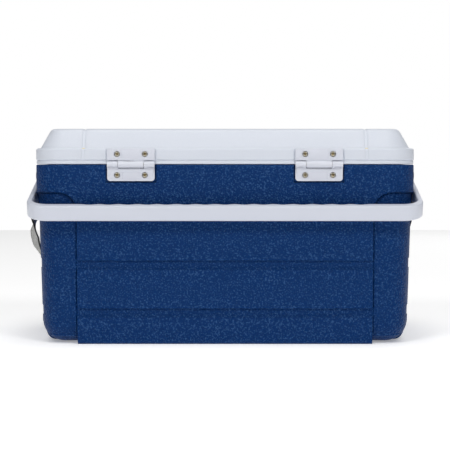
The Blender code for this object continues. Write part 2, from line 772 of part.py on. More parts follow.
def build_latch(parts, cutters, paints, hinge_frame, latch_frame):
    """Front latch: base on the lid, lever on its pin, keeper on the body."""
    half = LATCH_WIDTH / 2
    lever_half = LATCH_LEVER_WIDTH / 2
    low, high = BODY_HEIGHT - LEAF_DROP, BODY_HEIGHT + LEAF_RISE
    face, back = -LEAF_FACE, -LEAF_BACK
    axis_z = BODY_HEIGHT + LATCH_AXIS_Z
    axis_y = face - LATCH_BARREL - 0.0006
    screws = screw_places()

    outline = rounded_outline(-half, half, BODY_HEIGHT + 0.003, high, 0.003, ("high_left", "high_right"))
    base = prism("latch_base", outline, face, back, None, parts, paints["hinge"])
    for sign in (1, -1):
        inner, outer = sorted((sign * (lever_half + 0.0004), sign * (lever_half + 0.0034)))
        ear = rod(
            f"latch_ear_{sign}", (inner, axis_y, axis_z), (outer, axis_y, axis_z), LATCH_BARREL, cutters
        )
        web = box(
            f"latch_web_{sign}",
            (inner, axis_y, axis_z - LATCH_BARREL),
            (outer, back - 0.001, axis_z + LATCH_BARREL),
            cutters,
        )
        boolean(base, cutter(web), "UNION")
        boolean(base, cutter(ear), "UNION")
    leaf_screw_cuts(base, [s for s in screws if s[0].startswith("latch_base")], cutters)

    outline = rounded_outline(-half, half, low, BODY_HEIGHT - 0.002, LEAF_CORNER, ("low_left", "low_right"))
    keeper = prism("latch_keeper", outline, face, back, None, parts, paints["hinge"])
    ridge = box(
        "keeper_ridge",
        (-0.011, face - 0.0016, BODY_HEIGHT + KEEPER_Z - 0.0015),
        (0.011, face + 0.001, BODY_HEIGHT + KEEPER_Z + 0.0035),
        cutters,
    )
    boolean(keeper, cutter(ridge), "UNION")
    leaf_screw_cuts(keeper, [s for s in screws if s[0].startswith("latch_keeper")], cutters)

    lever_back = axis_y + 0.0010
    lever_face = lever_back - LATCH_LEVER_THICKNESS
    outline = rounded_outline(
        -lever_half, lever_half, axis_z - LATCH_DROP, axis_z, 0.004, ("low_left", "low_right")
    )
    lever = prism("latch_lever", outline, lever_face, lever_back, None, parts, paints["hinge"])
    barrel = rod(
        "lever_barrel", (-lever_half, axis_y, axis_z), (lever_half, axis_y, axis_z), LATCH_BARREL, cutters
    )
    boolean(lever, cutter(barrel), "UNION")
    bump = box(
        "lever_bump",
        (-0.010, lever_back - 0.001, BODY_HEIGHT + KEEPER_Z - 0.0050),
        (0.010, face - 0.0019, BODY_HEIGHT + KEEPER_Z - 0.0022),
        cutters,
    )
    boolean(lever, cutter(bump), "UNION")
    start, end = (-half, axis_y, axis_z), (half, axis_y, axis_z)
    bore = rod("latch_bore", start, end, LATCH_PIN_RADIUS + GAP, cutters, steps=16)
    for piece in (base, lever):
        boolean(piece, cutter(bore))
    for piece in (base, keeper, lever):
        smooth(piece)
    reach = lever_half + 0.0030
    start, end = (-reach, axis_y, axis_z), (reach, axis_y, axis_z)
    pin = rod("latch_pin", start, end, LATCH_PIN_RADIUS, parts, paints["steel"], 16)
    smooth(pin)
    carried(base, hinge_frame)
    carried(pin, hinge_frame)
    carried(lever, latch_frame)


def bail_outline():
    """The bail in its own plane: (sideways, outwards) points, the inner side scalloped."""
    inner_x = HALF_X + ARM_GAP
    outer_x = inner_x + ARM_THICKNESS
    outer_y = BAR_INNER + BAR_THICKNESS
    inside = BAIL_CORNER - ARM_THICKNESS
    right = [(outer_x, 0.0)]
    right += arc(outer_x - BAIL_CORNER, outer_y - BAIL_CORNER, BAIL_CORNER, 0, 90, 7)
    left = [(-x, y) for x, y in reversed(right)]
    inner = [(-inner_x, 0.0)]
    inner += [(-x, y) for x, y in arc(inner_x - inside, BAR_INNER - inside, inside, 0, 90, 6)]
    span = SCALLOPS * SCALLOP_PITCH
    per_wave = 4
    steps = SCALLOPS * per_wave
    for i in range(steps + 1):
        along = -span / 2 + span * i / steps
        wave = (1 - math.cos(2 * math.pi * i / per_wave)) / 2
        inner.append((along, BAR_INNER + SCALLOP_DEPTH * wave))
    inner += [(x, y) for x, y in reversed(arc(inner_x - inside, BAR_INNER - inside, inside, 0, 90, 6))]
    inner.append((inner_x, 0.0))
    return right + left + inner


def build_bail(parts, cutters, paints, bail_frame):
    """The swing-over handle: arms, bar and hubs in one moulding."""
    half = ARM_WIDTH / 2
    turn = bail_frame.matrix_world @ Matrix.Rotation(-math.pi / 2, 4, "X")
    bail = prism("bail_handle", bail_outline(), -half, half, None, parts, paints["handle"])
    bail.data.transform(turn)
    bevel(bail, 0.0022, 1, 55)
    inner_x = HALF_X + ARM_GAP - HUB_PROUD
    outer_x = HUB_FACE
    for sign in (1, -1):
        hub = rod(
            f"hub_{sign}", (sign * inner_x, 0, PIVOT_Z), (sign * outer_x, 0, PIVOT_Z), HUB_RADIUS, cutters
        )
        bevel(hub, 0.0012, 1)
        boolean(bail, cutter(hub), "UNION")
    for tool in pivot_rods(cutters, "hub_bore", BOLT_COLLAR + GAP, HALF_X - 0.01, outer_x + 0.01):
        boolean(bail, tool)
    smooth(bail)
    carried(bail, bail_frame)


def build_pivots(parts, cutters, paints):
    """On each side: the pivot bolt, and the anchor tab that the strap hangs from."""
    inner = HUB_FACE + GAP
    collar = inner + ANCHOR_THICKNESS + GAP - HALF_X
    profile = [
        (0.0, collar + BOLT_HEAD_HEIGHT),
        (0.9 * BOLT_HEAD, collar + BOLT_HEAD_HEIGHT - 0.0012),
        (BOLT_HEAD, collar + 0.0010),
        (BOLT_HEAD, collar),
        (BOLT_COLLAR, collar),
        (BOLT_COLLAR, GAP),
        (BOLT_SHANK, GAP),
        (BOLT_SHANK, -BOLT_DEPTH + 0.0025),
        (0.0, -BOLT_DEPTH + 0.0010),
    ]
    for side, sign in (("left", -1), ("right", 1)):
        wall = (sign * HALF_X, 0, PIVOT_Z)
        turned(f"pivot_bolt_{side}", profile, wall, (sign, 0, 0), parts, paints["bolt"])
        outline = arc(0, 0, ANCHOR_EYE, 0, 180, 8)
        outline += [(-ANCHOR_EYE, -0.004)]
        outline += [(-ANCHOR_HALF_WIDTH, -0.016)]
        outline += arc(-ANCHOR_HALF_WIDTH + 0.003, -ANCHOR_DROP + 0.003, 0.003, 180, 270, 3)
        outline += arc(ANCHOR_HALF_WIDTH - 0.003, -ANCHOR_DROP + 0.003, 0.003, 270, 360, 3)
        outline += [(ANCHOR_HALF_WIDTH, -0.016), (ANCHOR_EYE, -0.004)]
        lean = leaning(sign)
        turn = lean @ Matrix.Translation((0, 0, PIVOT_Z)) @ Matrix.Rotation(-sign * math.pi / 2, 4, "Z")
        anchor = prism(
            f"strap_anchor_{side}", outline, inner, inner + ANCHOR_THICKNESS, turn, parts, paints["anchor"]
        )
        bevel(anchor, 0.0006, 1)
        eye = rod(
            f"anchor_eye_{side}",
            (sign * HALF_X, 0, PIVOT_Z),
            (sign * (HALF_X + 0.03), 0, PIVOT_Z),
            BOLT_COLLAR + GAP,
            cutters,
        )
        boolean(anchor, cutter(eye))
        wide, tall = ANCHOR_SLOT
        middle = PIVOT_Z - ANCHOR_DROP + 0.0035 + tall
        near, far = sorted((sign * HALF_X, sign * (HALF_X + 0.03)))
        slot = box(f"anchor_slot_{side}", (near, -wide, middle - tall), (far, wide, middle + tall), cutters)
        slot.data.transform(lean)
        boolean(anchor, cutter(slot))
        smooth(anchor)


def leaning(sign):
    """The turn about the pivot that the anchor and the strap end have on a side."""
    if sign > 0:
        return Matrix.Identity(4)
    pivot = Matrix.Translation((0, 0, PIVOT_Z))
    return pivot @ Matrix.Rotation(LEFT_LEAN, 4, "X") @ pivot.inverted()


def strap_route():
    """The strap's own points, from the right anchor round the front to the left one."""
    places = [*STRAP_RIGHT_ROUTE, STRAP_MIDDLE, *reversed(STRAP_LEFT_ROUTE)]
    return [Vector(place) for place in places]


def outward(point):
    """The level direction that points away from the chest at a place beside it."""
    away = Vector(
        (
            math.copysign(max(abs(point.x) - (HALF_X - CORNER_RADIUS), 0), point.x),
            math.copysign(max(abs(point.y) - (HALF_Y - CORNER_RADIUS), 0), point.y),
            0,
        )
    )
    return away.normalized()


def band_frame(line, index):
    """Along, out and across the band at one of its points."""
    low, high = max(index - 1, 0), min(index + 1, len(line) - 1)
    along = (line[high] - line[low]).normalized()
    across = along.cross(outward(line[index])).normalized()
    return along, across.cross(along), across


def build_strap(parts, paints):
    """The strap as a plain flat band along a smooth curve, one face towards the chest."""
    line = smooth_points(strap_route(), 2)
    shape = bmesh.new()
    rings = []
    for index, place in enumerate(line):
        _, out, across = band_frame(line, index)
        deep, wide = out * STRAP_THICKNESS / 2, across * STRAP_WIDTH / 2
        corners = (wide + deep, wide - deep, -wide - deep, deep - wide)
        rings.append([shape.verts.new(place + corner) for corner in corners])
    for near, far in zip(rings, rings[1:]):
        for i in range(4):
            j = (i + 1) % 4
            shape.faces.new((near[i], near[j], far[j], far[i]))
    shape.faces.new(rings[0])
    shape.faces.new(rings[-1])
    smooth(object_from("strap_webbing", shape, parts, paints["webbing"]))


def build_strap_ends(parts, paints):
    """On each side: the strap's end, folded round the anchor's bar and stitched to itself."""
    bar_low = PIVOT_Z - ANCHOR_DROP
    bar_high = bar_low + 0.0035
    inner = HUB_FACE + GAP
    outer = inner + ANCHOR_THICKNESS
    ply = STRAP_THICKNESS
    room = 2 * GAP
    end = Vector(STRAP_RIGHT_ROUTE[0])
    top = bar_high + room + ply
    fork = bar_low - 0.0065
    middle = (inner + outer) / 2 + STRAP_END_LEAN / 4
    outline = [
        (end.x - ply, end.z + 4 * GAP),
        (end.x + ply, end.z + 4 * GAP),
        (middle + ply, fork),
        (outer + room + ply, bar_low),
        (outer + room + ply, top - ply),
        (outer + room, top),
        (inner - room, top),
        (inner - room - ply, top - ply),
        (inner - room - ply, bar_low),
        (middle - ply, fork),
    ]
    eye = [
        (middle, fork + 0.0018),
        (outer + room, bar_low - room),
        (outer + room, bar_high + room),
        (inner - room, bar_high + room),
        (inner - room, bar_low - room),
    ]
    half = STRAP_WIDTH / 2
    for side, sign in (("left", -1), ("right", 1)):
        shape = bmesh.new()
        loops = []
        for points in (outline, eye):
            for y in (-half, half):
                loops.append([shape.verts.new((sign * x, y, z)) for x, z in points])
        for near, far in (loops[:2], loops[2:]):
            for i in range(len(near)):
                j = (i + 1) % len(near)
                shape.faces.new((near[i], near[j], far[j], far[i]))
        for ends in (loops[::2], loops[1::2]):
            edges = [
                shape.edges.get((loop[i - 1], vert)) for loop in ends for i, vert in enumerate(loop)
            ]
            bmesh.ops.triangle_fill(shape, edges=edges, use_beauty=True)
        shape.transform(leaning(sign))
        end_piece = object_from(f"strap_end_{side}", shape, parts, paints["webbing"])
        end_piece.data.shade_flat()


def build_adjuster(parts, cutters, paints):
    """The slide adjuster: a frame round the strap, with a slot that the strap runs through."""
    fine = smooth_points(strap_route(), 2)
    index = min(range(len(fine)), key=lambda i: abs(fine[i].x - ADJUSTER_AT))
    turn = Matrix(band_frame(fine, index)).transposed().to_4x4()
    turn.translation = fine[index]
    half = [size / 2 for size in ADJUSTER_SIZE]
    frame = box("strap_adjuster", [-h for h in half], half, parts, paints["anchor"])
    slot_y = STRAP_THICKNESS / 2 + 2 * GAP
    slot_z = STRAP_WIDTH / 2 + 2 * GAP
    slot = box("adjuster_slot", (-0.02, -slot_y, -slot_z), (0.02, slot_y, slot_z), cutters)
    for piece in (frame, slot):
        piece.data.transform(turn)
    bevel(frame, 0.0012, 1)
    boolean(frame, cutter(slot))
    smooth(frame)


def smooth_points(route, steps):
    """Points of a Catmull-Rom curve through the route."""
    padded = [route[0] * 2 - route[1], *route, route[-1] * 2 - route[-2]]
    points = []
    for a, b, c, d in zip(padded, padded[1:], padded[2:], padded[3:]):
        for step in range(steps):
            t = step / steps
            points.append(
                0.5
                * (
                    2 * b
                    + (c - a) * t
                    + (2 * a - 5 * b + 4 * c - d) * t**2
                    + (3 * b - a - 3 * c + d) * t**3
                )
            )
    return points + [route[-1]]


def main():
    """Build the whole cooler."""
    for old in list(bpy.data.objects):
        bpy.data.objects.remove(old, do_unlink=True)
    parts = collection("cooler_chest")
    cutters = collection("cutters")
    paints = {
        "body": material("blue_polyethylene", (0.010, 0.037, 0.125), 0.45),
        "lid": material("pale_grey_polyethylene", (0.73, 0.77, 0.83), 0.45),
        "handle": material("pale_grey_handle", (0.66, 0.69, 0.76), 0.40),
        "hinge": material("pale_grey_nylon", (0.70, 0.73, 0.80), 0.35),
        "liner": material("white_liner", (0.80, 0.82, 0.84), 0.35),
        "foam": material("insulating_foam", (0.85, 0.76, 0.50), 0.90),
        "gasket": material("grey_gasket_rubber", (0.10, 0.10, 0.11), 0.70),
        "steel": material("zinc_plated_steel", (0.62, 0.60, 0.55), 0.30, 1.0),
        "bolt": material("black_nylon_bolt", (0.02, 0.02, 0.022), 0.45),
        "anchor": material("black_acetal", (0.02, 0.02, 0.022), 0.40),
        "webbing": material("grey_webbing", (0.50, 0.50, 0.49), 0.85),
    }
    hinge_frame = axis_frame("lid_hinge_axis", (0, HINGE_Y, BODY_HEIGHT), parts)
    latch_y = -LEAF_FACE - LATCH_BARREL - 0.0006
    latch_frame = axis_frame("latch_axis", (0, latch_y, BODY_HEIGHT + LATCH_AXIS_Z), parts)
    latch_frame.parent = hinge_frame
    latch_frame.matrix_parent_inverse = hinge_frame.matrix_world.inverted()
    bail_frame = axis_frame("bail_axis", (0, 0, PIVOT_Z), parts)
    bail_frame.rotation_euler = (-REST_ANGLE, 0, 0)
    bpy.context.view_layer.update()

    build_body(parts, cutters, paints)
    build_lid(parts, cutters, paints, hinge_frame)
    for side, sign in (("left", -1), ("right", 1)):
        build_hinge(side, sign, parts, cutters, paints, hinge_frame)
    build_screws(parts, paints, hinge_frame)
    build_latch(parts, cutters, paints, hinge_frame, latch_frame)
    build_bail(parts, cutters, paints, bail_frame)
    build_pivots(parts, cutters, paints)
    build_strap(parts, paints)
    build_strap_ends(parts, paints)
    build_adjuster(parts, cutters, paints)


main()
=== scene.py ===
"""The looks of a hard cooler chest: moulded skins, hinges, bail handle, strap and their finishes.

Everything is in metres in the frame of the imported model: +Z up, the hinges at +Y, the latch at -Y.
"""

from __future__ import annotations

import json
import logging
import math
from collections.abc import Callable, Iterable, Sequence
from dataclasses import dataclass, field
from enum import Enum

import bmesh
import bpy
import numpy as np
from mathutils import Matrix, Vector

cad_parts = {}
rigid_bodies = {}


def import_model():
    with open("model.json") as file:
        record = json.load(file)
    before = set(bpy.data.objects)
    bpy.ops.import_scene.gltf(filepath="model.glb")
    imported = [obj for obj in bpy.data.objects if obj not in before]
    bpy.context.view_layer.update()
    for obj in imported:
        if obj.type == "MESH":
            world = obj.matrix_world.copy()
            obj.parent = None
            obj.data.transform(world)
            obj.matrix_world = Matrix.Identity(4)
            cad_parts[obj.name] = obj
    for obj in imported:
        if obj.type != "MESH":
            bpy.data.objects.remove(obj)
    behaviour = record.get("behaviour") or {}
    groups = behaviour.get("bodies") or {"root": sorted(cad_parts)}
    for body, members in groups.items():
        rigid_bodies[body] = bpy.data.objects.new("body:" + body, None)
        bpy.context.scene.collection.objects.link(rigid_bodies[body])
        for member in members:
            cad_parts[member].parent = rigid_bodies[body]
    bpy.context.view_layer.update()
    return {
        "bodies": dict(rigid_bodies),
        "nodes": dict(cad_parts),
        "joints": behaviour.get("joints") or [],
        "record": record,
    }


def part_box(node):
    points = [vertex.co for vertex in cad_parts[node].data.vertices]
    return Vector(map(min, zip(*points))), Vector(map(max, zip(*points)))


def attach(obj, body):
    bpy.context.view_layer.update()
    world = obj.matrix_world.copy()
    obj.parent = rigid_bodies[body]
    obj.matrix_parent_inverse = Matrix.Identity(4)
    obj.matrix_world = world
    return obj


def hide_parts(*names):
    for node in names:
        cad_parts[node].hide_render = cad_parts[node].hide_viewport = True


log = logging.getLogger("cooler")

MM = 0.001
Levels = list[tuple[float, float]]
Points = list[tuple[float, float]]


# ---- Finishes ---------------------------------------------------------------------------


def linear(hex_colour: str) -> tuple[float, float, float, float]:
    """Turn an sRGB hex colour into a linear one.

    Args:
        hex_colour: Six hex digits, with or without a leading #.

    Returns:
        Red, green, blue and a full alpha.
    """
    digits = hex_colour.lstrip("#")
    channels = [int(digits[i : i + 2], 16) / 255 for i in (0, 2, 4)]
    lin = [c / 12.92 if c <= 0.04045 else ((c + 0.055) / 1.055) ** 2.4 for c in channels]
    return (*lin, 1.0)


def add_node(
    tree: bpy.types.NodeTree,
    kind: str,
    settings: dict | None = None,
    values: dict | None = None,
    links: dict | None = None,
) -> bpy.types.Node:
    """Add a node with its settings, its unlinked values and its incoming links.

    Args:
        tree: The node tree.
        kind: The node's type name.
        settings: Attribute names and values.
        values: Input names or indices and their default values.
        links: Input names or indices and the sockets that feed them.

    Returns:
        The new node.
    """
    made = tree.nodes.new(kind)
    for name, value in (settings or {}).items():
        setattr(made, name, value)
    for name, value in (values or {}).items():
        made.inputs[name].default_value = value
    for name, socket in (links or {}).items():
        tree.links.new(socket, made.inputs[name])
    return made


@dataclass(frozen=True)
class Finish:
    """A material with one Principled shader.

    Attributes:
        name: The material's name.
        colour: Base colour as sRGB hex digits.
        roughness: Roughness where no pattern changes it.
        metallic: 0 for plastics and cloth, 1 for bare metal.
        ior: Index of refraction.
        gleam: Specular level, 0.5 for a clean surface.
    """

    name: str
    colour: str
    roughness: float
    metallic: float = 0.0
    ior: float = 1.5
    gleam: float = 0.5

    def make(self) -> bpy.types.Material:
        """Build the material and let the pattern method dress it."""
        made = bpy.data.materials.new(self.name)
        made.use_nodes = True
        tree = made.node_tree
        shader = tree.nodes["Principled BSDF"]
        shader.inputs["Base Color"].default_value = linear(self.colour)
        shader.inputs["Roughness"].default_value = self.roughness
        shader.inputs["Metallic"].default_value = self.metallic
        shader.inputs["IOR"].default_value = self.ior
        shader.inputs["Specular IOR Level"].default_value = self.gleam
        self.pattern(tree, shader)
        return made

    def pattern(self, tree: bpy.types.NodeTree, shader: bpy.types.Node) -> None:
        """Add the surface's own pattern; a plain finish has none."""


@dataclass(frozen=True)
class MouldedPlastic(Finish):
    """Plastic from a textured mould: pebbled grain, with faint lighter specks on its high spots that are
    painted glints.

    Attributes:
        grain: Pebble spacing in metres.
        depth: Pebble height in metres.
        glint_strength: How far the painted glints lighten the colour, 0 to 1.
        glint_colour: Colour of the painted glints on the grain's high spots.
        sheen_span: How far the roughness wanders either side of its middle.
    """

    grain: float = 1.4 * MM
    depth: float = 0.12 * MM
    glint_strength: float = 0.25
    glint_colour: str = "#8899AA"
    sheen_span: float = 0.08

    def pattern(self, tree: bpy.types.NodeTree, shader: bpy.types.Node) -> None:
        """Pebbles, painted glint specks and uneven gloss, all on Object coordinates."""
        place = add_node(tree, "ShaderNodeTexCoord").outputs["Object"]
        pebbles = add_node(
            tree,
            "ShaderNodeTexVoronoi",
            {"feature": "SMOOTH_F1"},
            {"Scale": 1 / self.grain, "Smoothness": 0.6},
            {"Vector": place},
        ).outputs["Distance"]
        crumble = add_node(
            tree,
            "ShaderNodeTexNoise",
            values={"Scale": 1.1 / self.grain, "Detail": 2.0, "Roughness": 0.55},
            links={"Vector": place},
        ).outputs["Fac"]
        relief = add_node(
            tree, "ShaderNodeMath", {"operation": "ADD"}, links={0: pebbles, 1: crumble}
        ).outputs[0]
        bump = add_node(
            tree,
            "ShaderNodeBump",
            values={"Strength": 0.6, "Distance": self.depth},
            links={"Height": relief},
        )
        tree.links.new(bump.outputs["Normal"], shader.inputs["Normal"])
        cloud = add_node(
            tree,
            "ShaderNodeTexNoise",
            values={"Scale": 9.0, "Detail": 4.0, "Roughness": 0.55},
            links={"Vector": place},
        ).outputs["Fac"]
        # Lighter specks where the grain stands high: painted glints.
        painted_glints = add_node(
            tree,
            "ShaderNodeMapRange",
            values={"From Min": 0.52, "From Max": 0.68, "To Min": 0.0, "To Max": self.glint_strength},
            links={"Value": crumble},
        ).outputs["Result"]
        colour = add_node(
            tree,
            "ShaderNodeMix",
            {"data_type": "RGBA"},
            {6: linear(self.colour), 7: linear(self.glint_colour)},
            {0: painted_glints},
        ).outputs[2]
        tree.links.new(colour, shader.inputs["Base Color"])
        gloss = add_node(
            tree,
            "ShaderNodeMapRange",
            values={
                "From Min": 0.3,
                "From Max": 0.7,
                "To Min": self.roughness - self.sheen_span,
                "To Max": self.roughness + self.sheen_span,
            },
            links={"Value": cloud},
        ).outputs["Result"]
        tree.links.new(gloss, shader.inputs["Roughness"])


@dataclass(frozen=True)
class PlatedSteel(Finish):
    """Zinc plate with a thin yellow passivation: soft cloudy colour and uneven gloss."""

    tint: str = "#A8A08A"

    def pattern(self, tree: bpy.types.NodeTree, shader: bpy.types.Node) -> None:
        """Cloudy tint and uneven gloss."""
        place = add_node(tree, "ShaderNodeTexCoord").outputs["Object"]
        cloud = add_node(
            tree,
            "ShaderNodeTexNoise",
            values={"Scale": 420.0, "Detail": 3.0},
            links={"Vector": place},
        ).outputs["Fac"]
        colour = add_node(
            tree,
            "ShaderNodeMix",
            {"data_type": "RGBA"},
            {6: linear(self.colour), 7: linear(self.tint)},
            {0: cloud},
        ).outputs[2]
        tree.links.new(colour, shader.inputs["Base Color"])
        gloss = add_node(
            tree,
            "ShaderNodeMapRange",
            values={"To Min": self.roughness - 0.08, "To Max": self.roughness + 0.12},
            links={"Value": cloud},
        ).outputs["Result"]
        tree.links.new(gloss, shader.inputs["Roughness"])


@dataclass(frozen=True)
class WovenWebbing(Finish):
    """Polyester webbing: ribs across its width, fine lengthwise yarns, painted shade between the ribs and
    dark bound edges.

    Its UV map runs across the band in U, from 0 to 1, and along it in V, in metres.

    Attributes:
        edge: Colour of the bound edges.
        hollow_shade: Colour between the ribs, a painted shade.
        rib: Spacing of the ribs in metres.
        yarns: Number of yarns side by side across the band.
        edge_share: Width of each edge as a share of the band.
    """

    edge: str = "#17181A"
    hollow_shade: str = "#8E8E8C"
    rib: float = 1.3 * MM
    yarns: int = 26
    edge_share: float = 0.11

    def pattern(self, tree: bpy.types.NodeTree, shader: bpy.types.Node) -> None:
        """Ribs, yarns, painted shade between the ribs and edges from the UV map."""
        uv = add_node(tree, "ShaderNodeUVMap").outputs["UV"]
        split = add_node(tree, "ShaderNodeSeparateXYZ", links={0: uv})
        across, along = split.outputs["X"], split.outputs["Y"]
        from_middle = add_node(
            tree, "ShaderNodeMath", {"operation": "SUBTRACT"}, {1: 0.5}, {0: across}
        ).outputs[0]
        from_middle = add_node(
            tree, "ShaderNodeMath", {"operation": "ABSOLUTE"}, links={0: from_middle}
        ).outputs[0]
        on_edge = add_node(
            tree,
            "ShaderNodeMapRange",
            values={
                "From Min": 0.5 - self.edge_share - 0.01,
                "From Max": 0.5 - self.edge_share + 0.01,
            },
            links={"Value": from_middle},
        ).outputs["Result"]
        rib_turn = add_node(
            tree,
            "ShaderNodeMath",
            {"operation": "MULTIPLY"},
            {1: 2 * math.pi / self.rib},
            {0: along},
        ).outputs[0]
        ribs = add_node(tree, "ShaderNodeMath", {"operation": "SINE"}, links={0: rib_turn}).outputs[0]
        yarn_turn = add_node(
            tree,
            "ShaderNodeMath",
            {"operation": "MULTIPLY"},
            {1: 2 * math.pi * self.yarns},
            {0: across},
        ).outputs[0]
        yarns = add_node(tree, "ShaderNodeMath", {"operation": "SINE"}, links={0: yarn_turn}).outputs[0]
        weave = add_node(
            tree, "ShaderNodeMath", {"operation": "MULTIPLY"}, links={0: ribs, 1: yarns}
        ).outputs[0]
        relief = add_node(
            tree, "ShaderNodeMath", {"operation": "ADD"}, links={0: ribs, 1: weave}
        ).outputs[0]
        bump = add_node(
            tree,
            "ShaderNodeBump",
            values={"Strength": 0.7, "Distance": 0.25 * MM},
            links={"Height": relief},
        )
        tree.links.new(bump.outputs["Normal"], shader.inputs["Normal"])
        # Painted shade: the colour darkens where the ribs' relief is low.
        shade = add_node(
            tree,
            "ShaderNodeMapRange",
            values={"From Min": -2.0, "From Max": 2.0, "To Min": 0.0, "To Max": 1.0},
            links={"Value": relief},
        ).outputs["Result"]
        face = add_node(
            tree,
            "ShaderNodeMix",
            {"data_type": "RGBA"},
            {6: linear(self.hollow_shade), 7: linear(self.colour)},
            {0: shade},
        ).outputs[2]
        colour = add_node(
            tree,
            "ShaderNodeMix",
            {"data_type": "RGBA"},
            {7: linear(self.edge)},
            {0: on_edge, 6: face},
        ).outputs[2]
        tree.links.new(colour, shader.inputs["Base Color"])
        shader.inputs["Sheen Weight"].default_value = 0.25


@dataclass(frozen=True)
class CellularFoam(Finish):
    """Poured polyurethane foam: one colour with small open cells."""

    def pattern(self, tree: bpy.types.NodeTree, shader: bpy.types.Node) -> None:
        """Cells as pits in the surface."""
        place = add_node(tree, "ShaderNodeTexCoord").outputs["Object"]
        cells = add_node(
            tree, "ShaderNodeTexVoronoi", values={"Scale": 700.0}, links={"Vector": place}
        ).outputs["Distance"]
        bump = add_node(
            tree,
            "ShaderNodeBump",
            values={"Strength": 0.8, "Distance": 0.4 * MM},
            links={"Height": cells},
        )
        tree.links.new(bump.outputs["Normal"], shader.inputs["Normal"])


class Paint(Enum):
    """The finishes of this chest, each with the record's material slot it stands for."""

    # Rotomoulded polyethylene from a coarse grained mould: deep blue with a broken, soft sheen; its lighter
    # specks are painted glints.
    BODY = (
        "blue_polyethylene",
        MouldedPlastic(
            "pebbled blue polyethylene",
            "#002E64",
            0.40,
            gleam=0.10,
            grain=2.4 * MM,
            depth=1.8 * MM,
            glint_strength=0.38,
            glint_colour="#4C78AE",
            sheen_span=0.05,
        ),
    )
    # The same plastic undyed but for a cool grey, from a finer mould: matt and even.
    LID = (
        "pale_polyethylene",
        MouldedPlastic(
            "grained pale grey polyethylene",
            "#D9DEE8",
            0.46,
            grain=1.1 * MM,
            depth=0.10 * MM,
            glint_strength=0.18,
            glint_colour="#EEF1F6",
        ),
    )
    # Injection moulded polypropylene from a smooth tool: even colour, soft gloss.
    HANDLE = (
        "handle_plastic",
        MouldedPlastic(
            "smooth pale grey polypropylene",
            "#D2D6E1",
            0.36,
            grain=0.8 * MM,
            depth=0.02 * MM,
            glint_strength=0.06,
            glint_colour="#E6E9F0",
        ),
    )
    # Glass filled nylon: faint fibre grain, a little glossier than the lid.
    HINGE = (
        "hinge_nylon",
        MouldedPlastic(
            "pale grey nylon",
            "#DADDE7",
            0.34,
            grain=0.7 * MM,
            depth=0.03 * MM,
            glint_strength=0.08,
            glint_colour="#ECEEF4",
        ),
    )
    # Smooth food grade liner: clean white with a soft gloss.
    LINER = (
        "white_liner",
        MouldedPlastic(
            "white liner polyethylene",
            "#E9ECEF",
            0.30,
            grain=2.5 * MM,
            depth=0.02 * MM,
            glint_strength=0.05,
            glint_colour="#F6F7F8",
        ),
    )
    FOAM = ("insulating_foam", CellularFoam("polyurethane foam", "#E9D9A8", 0.9))
    # Closed cell EPDM: dark, dry and matt.
    GASKET = (
        "gasket_rubber",
        MouldedPlastic(
            "EPDM gasket rubber",
            "#3A3B3E",
            0.68,
            grain=0.6 * MM,
            depth=0.03 * MM,
            glint_strength=0.1,
            glint_colour="#55565A",
        ),
    )
    STEEL = ("zinc_steel", PlatedSteel("zinc plated steel", "#B7B4AC", 0.30, metallic=1.0))
    BOLT = (
        "black_nylon",
        MouldedPlastic(
            "black nylon bolt",
            "#1B1C1E",
            0.42,
            grain=0.7 * MM,
            depth=0.03 * MM,
            glint_strength=0.1,
            glint_colour="#303236",
        ),
    )
    ACETAL = (
        "black_acetal",
        MouldedPlastic(
            "black acetal",
            "#18191B",
            0.36,
            grain=0.6 * MM,
            depth=0.02 * MM,
            glint_strength=0.1,
            glint_colour="#2C2E31",
        ),
    )
    WEBBING = ("grey_webbing", WovenWebbing("ribbed grey webbing", "#D4D4D0", 0.85))
    THREAD = ("grey_webbing", Finish("dark sewing thread", "#26272A", 0.8))

    @property
    def slot(self) -> str:
        """The record's material slot."""
        return self.value[0]

    @property
    def material(self) -> bpy.types.Material:
        """The material, built on first use."""
        finish = self.value[1]
        return bpy.data.materials.get(finish.name) or finish.make()


# ---- Mesh tools -------------------------------------------------------------------------


def arc(
    centre: tuple[float, float], radius: float, start: float, end: float, steps: int
) -> Points:
    """Points of an arc.

    Args:
        centre: The arc's centre.
        radius: Its radius.
        start: First angle in degrees.
        end: Last angle in degrees.
        steps: Number of chords.

    Returns:
        The points, both ends included.
    """
    turns = [math.radians(start + (end - start) * i / steps) for i in range(steps + 1)]
    return [(centre[0] + radius * math.cos(t), centre[1] + radius * math.sin(t)) for t in turns]


def soft_step(value: np.ndarray | float) -> np.ndarray:
    """A smooth rise from 0 to 1 as the value goes from 0 to 1."""
    held = np.clip(value, 0.0, 1.0)
    return held * held * (3 - 2 * held)


def object_of(name: str, mesh: bpy.types.Mesh, paint: Paint | None = None) -> bpy.types.Object:
    """Put a mesh in the scene.

    Args:
        name: The object's name.
        mesh: Its mesh.
        paint: Its finish, if it has one already.

    Returns:
        The new object.
    """
    made = bpy.data.objects.new(name, mesh)
    bpy.context.scene.collection.objects.link(made)
    if paint is not None:
        mesh.materials.clear()
        mesh.materials.append(paint.material)
    return made


def object_from(name: str, shape: bmesh.types.BMesh, paint: Paint | None = None) -> bpy.types.Object:
    """Turn a bmesh into an object, its faces turned outwards."""
    bmesh.ops.recalc_face_normals(shape, faces=shape.faces)
    mesh = bpy.data.meshes.new(name)
    shape.to_mesh(mesh)
    shape.free()
    return object_of(name, mesh, paint)


def smooth(piece: bpy.types.Object, angle: float = 35.0) -> None:
    """Shade a piece smooth, with edges past an angle kept sharp."""
    piece.data.shade_smooth()
    piece.data.set_sharp_from_angle(angle=math.radians(angle))


def bevel(piece: bpy.types.Object, width: float, segments: int = 3, angle: float = 40.0) -> None:
    """Add a Bevel modifier for the sharp edges."""
    rounded = piece.modifiers.new("Rounded edges", "BEVEL")
    rounded.width = width
    rounded.segments = segments
    rounded.limit_method = "ANGLE"
    rounded.angle_limit = math.radians(angle)
    rounded.harden_normals = False


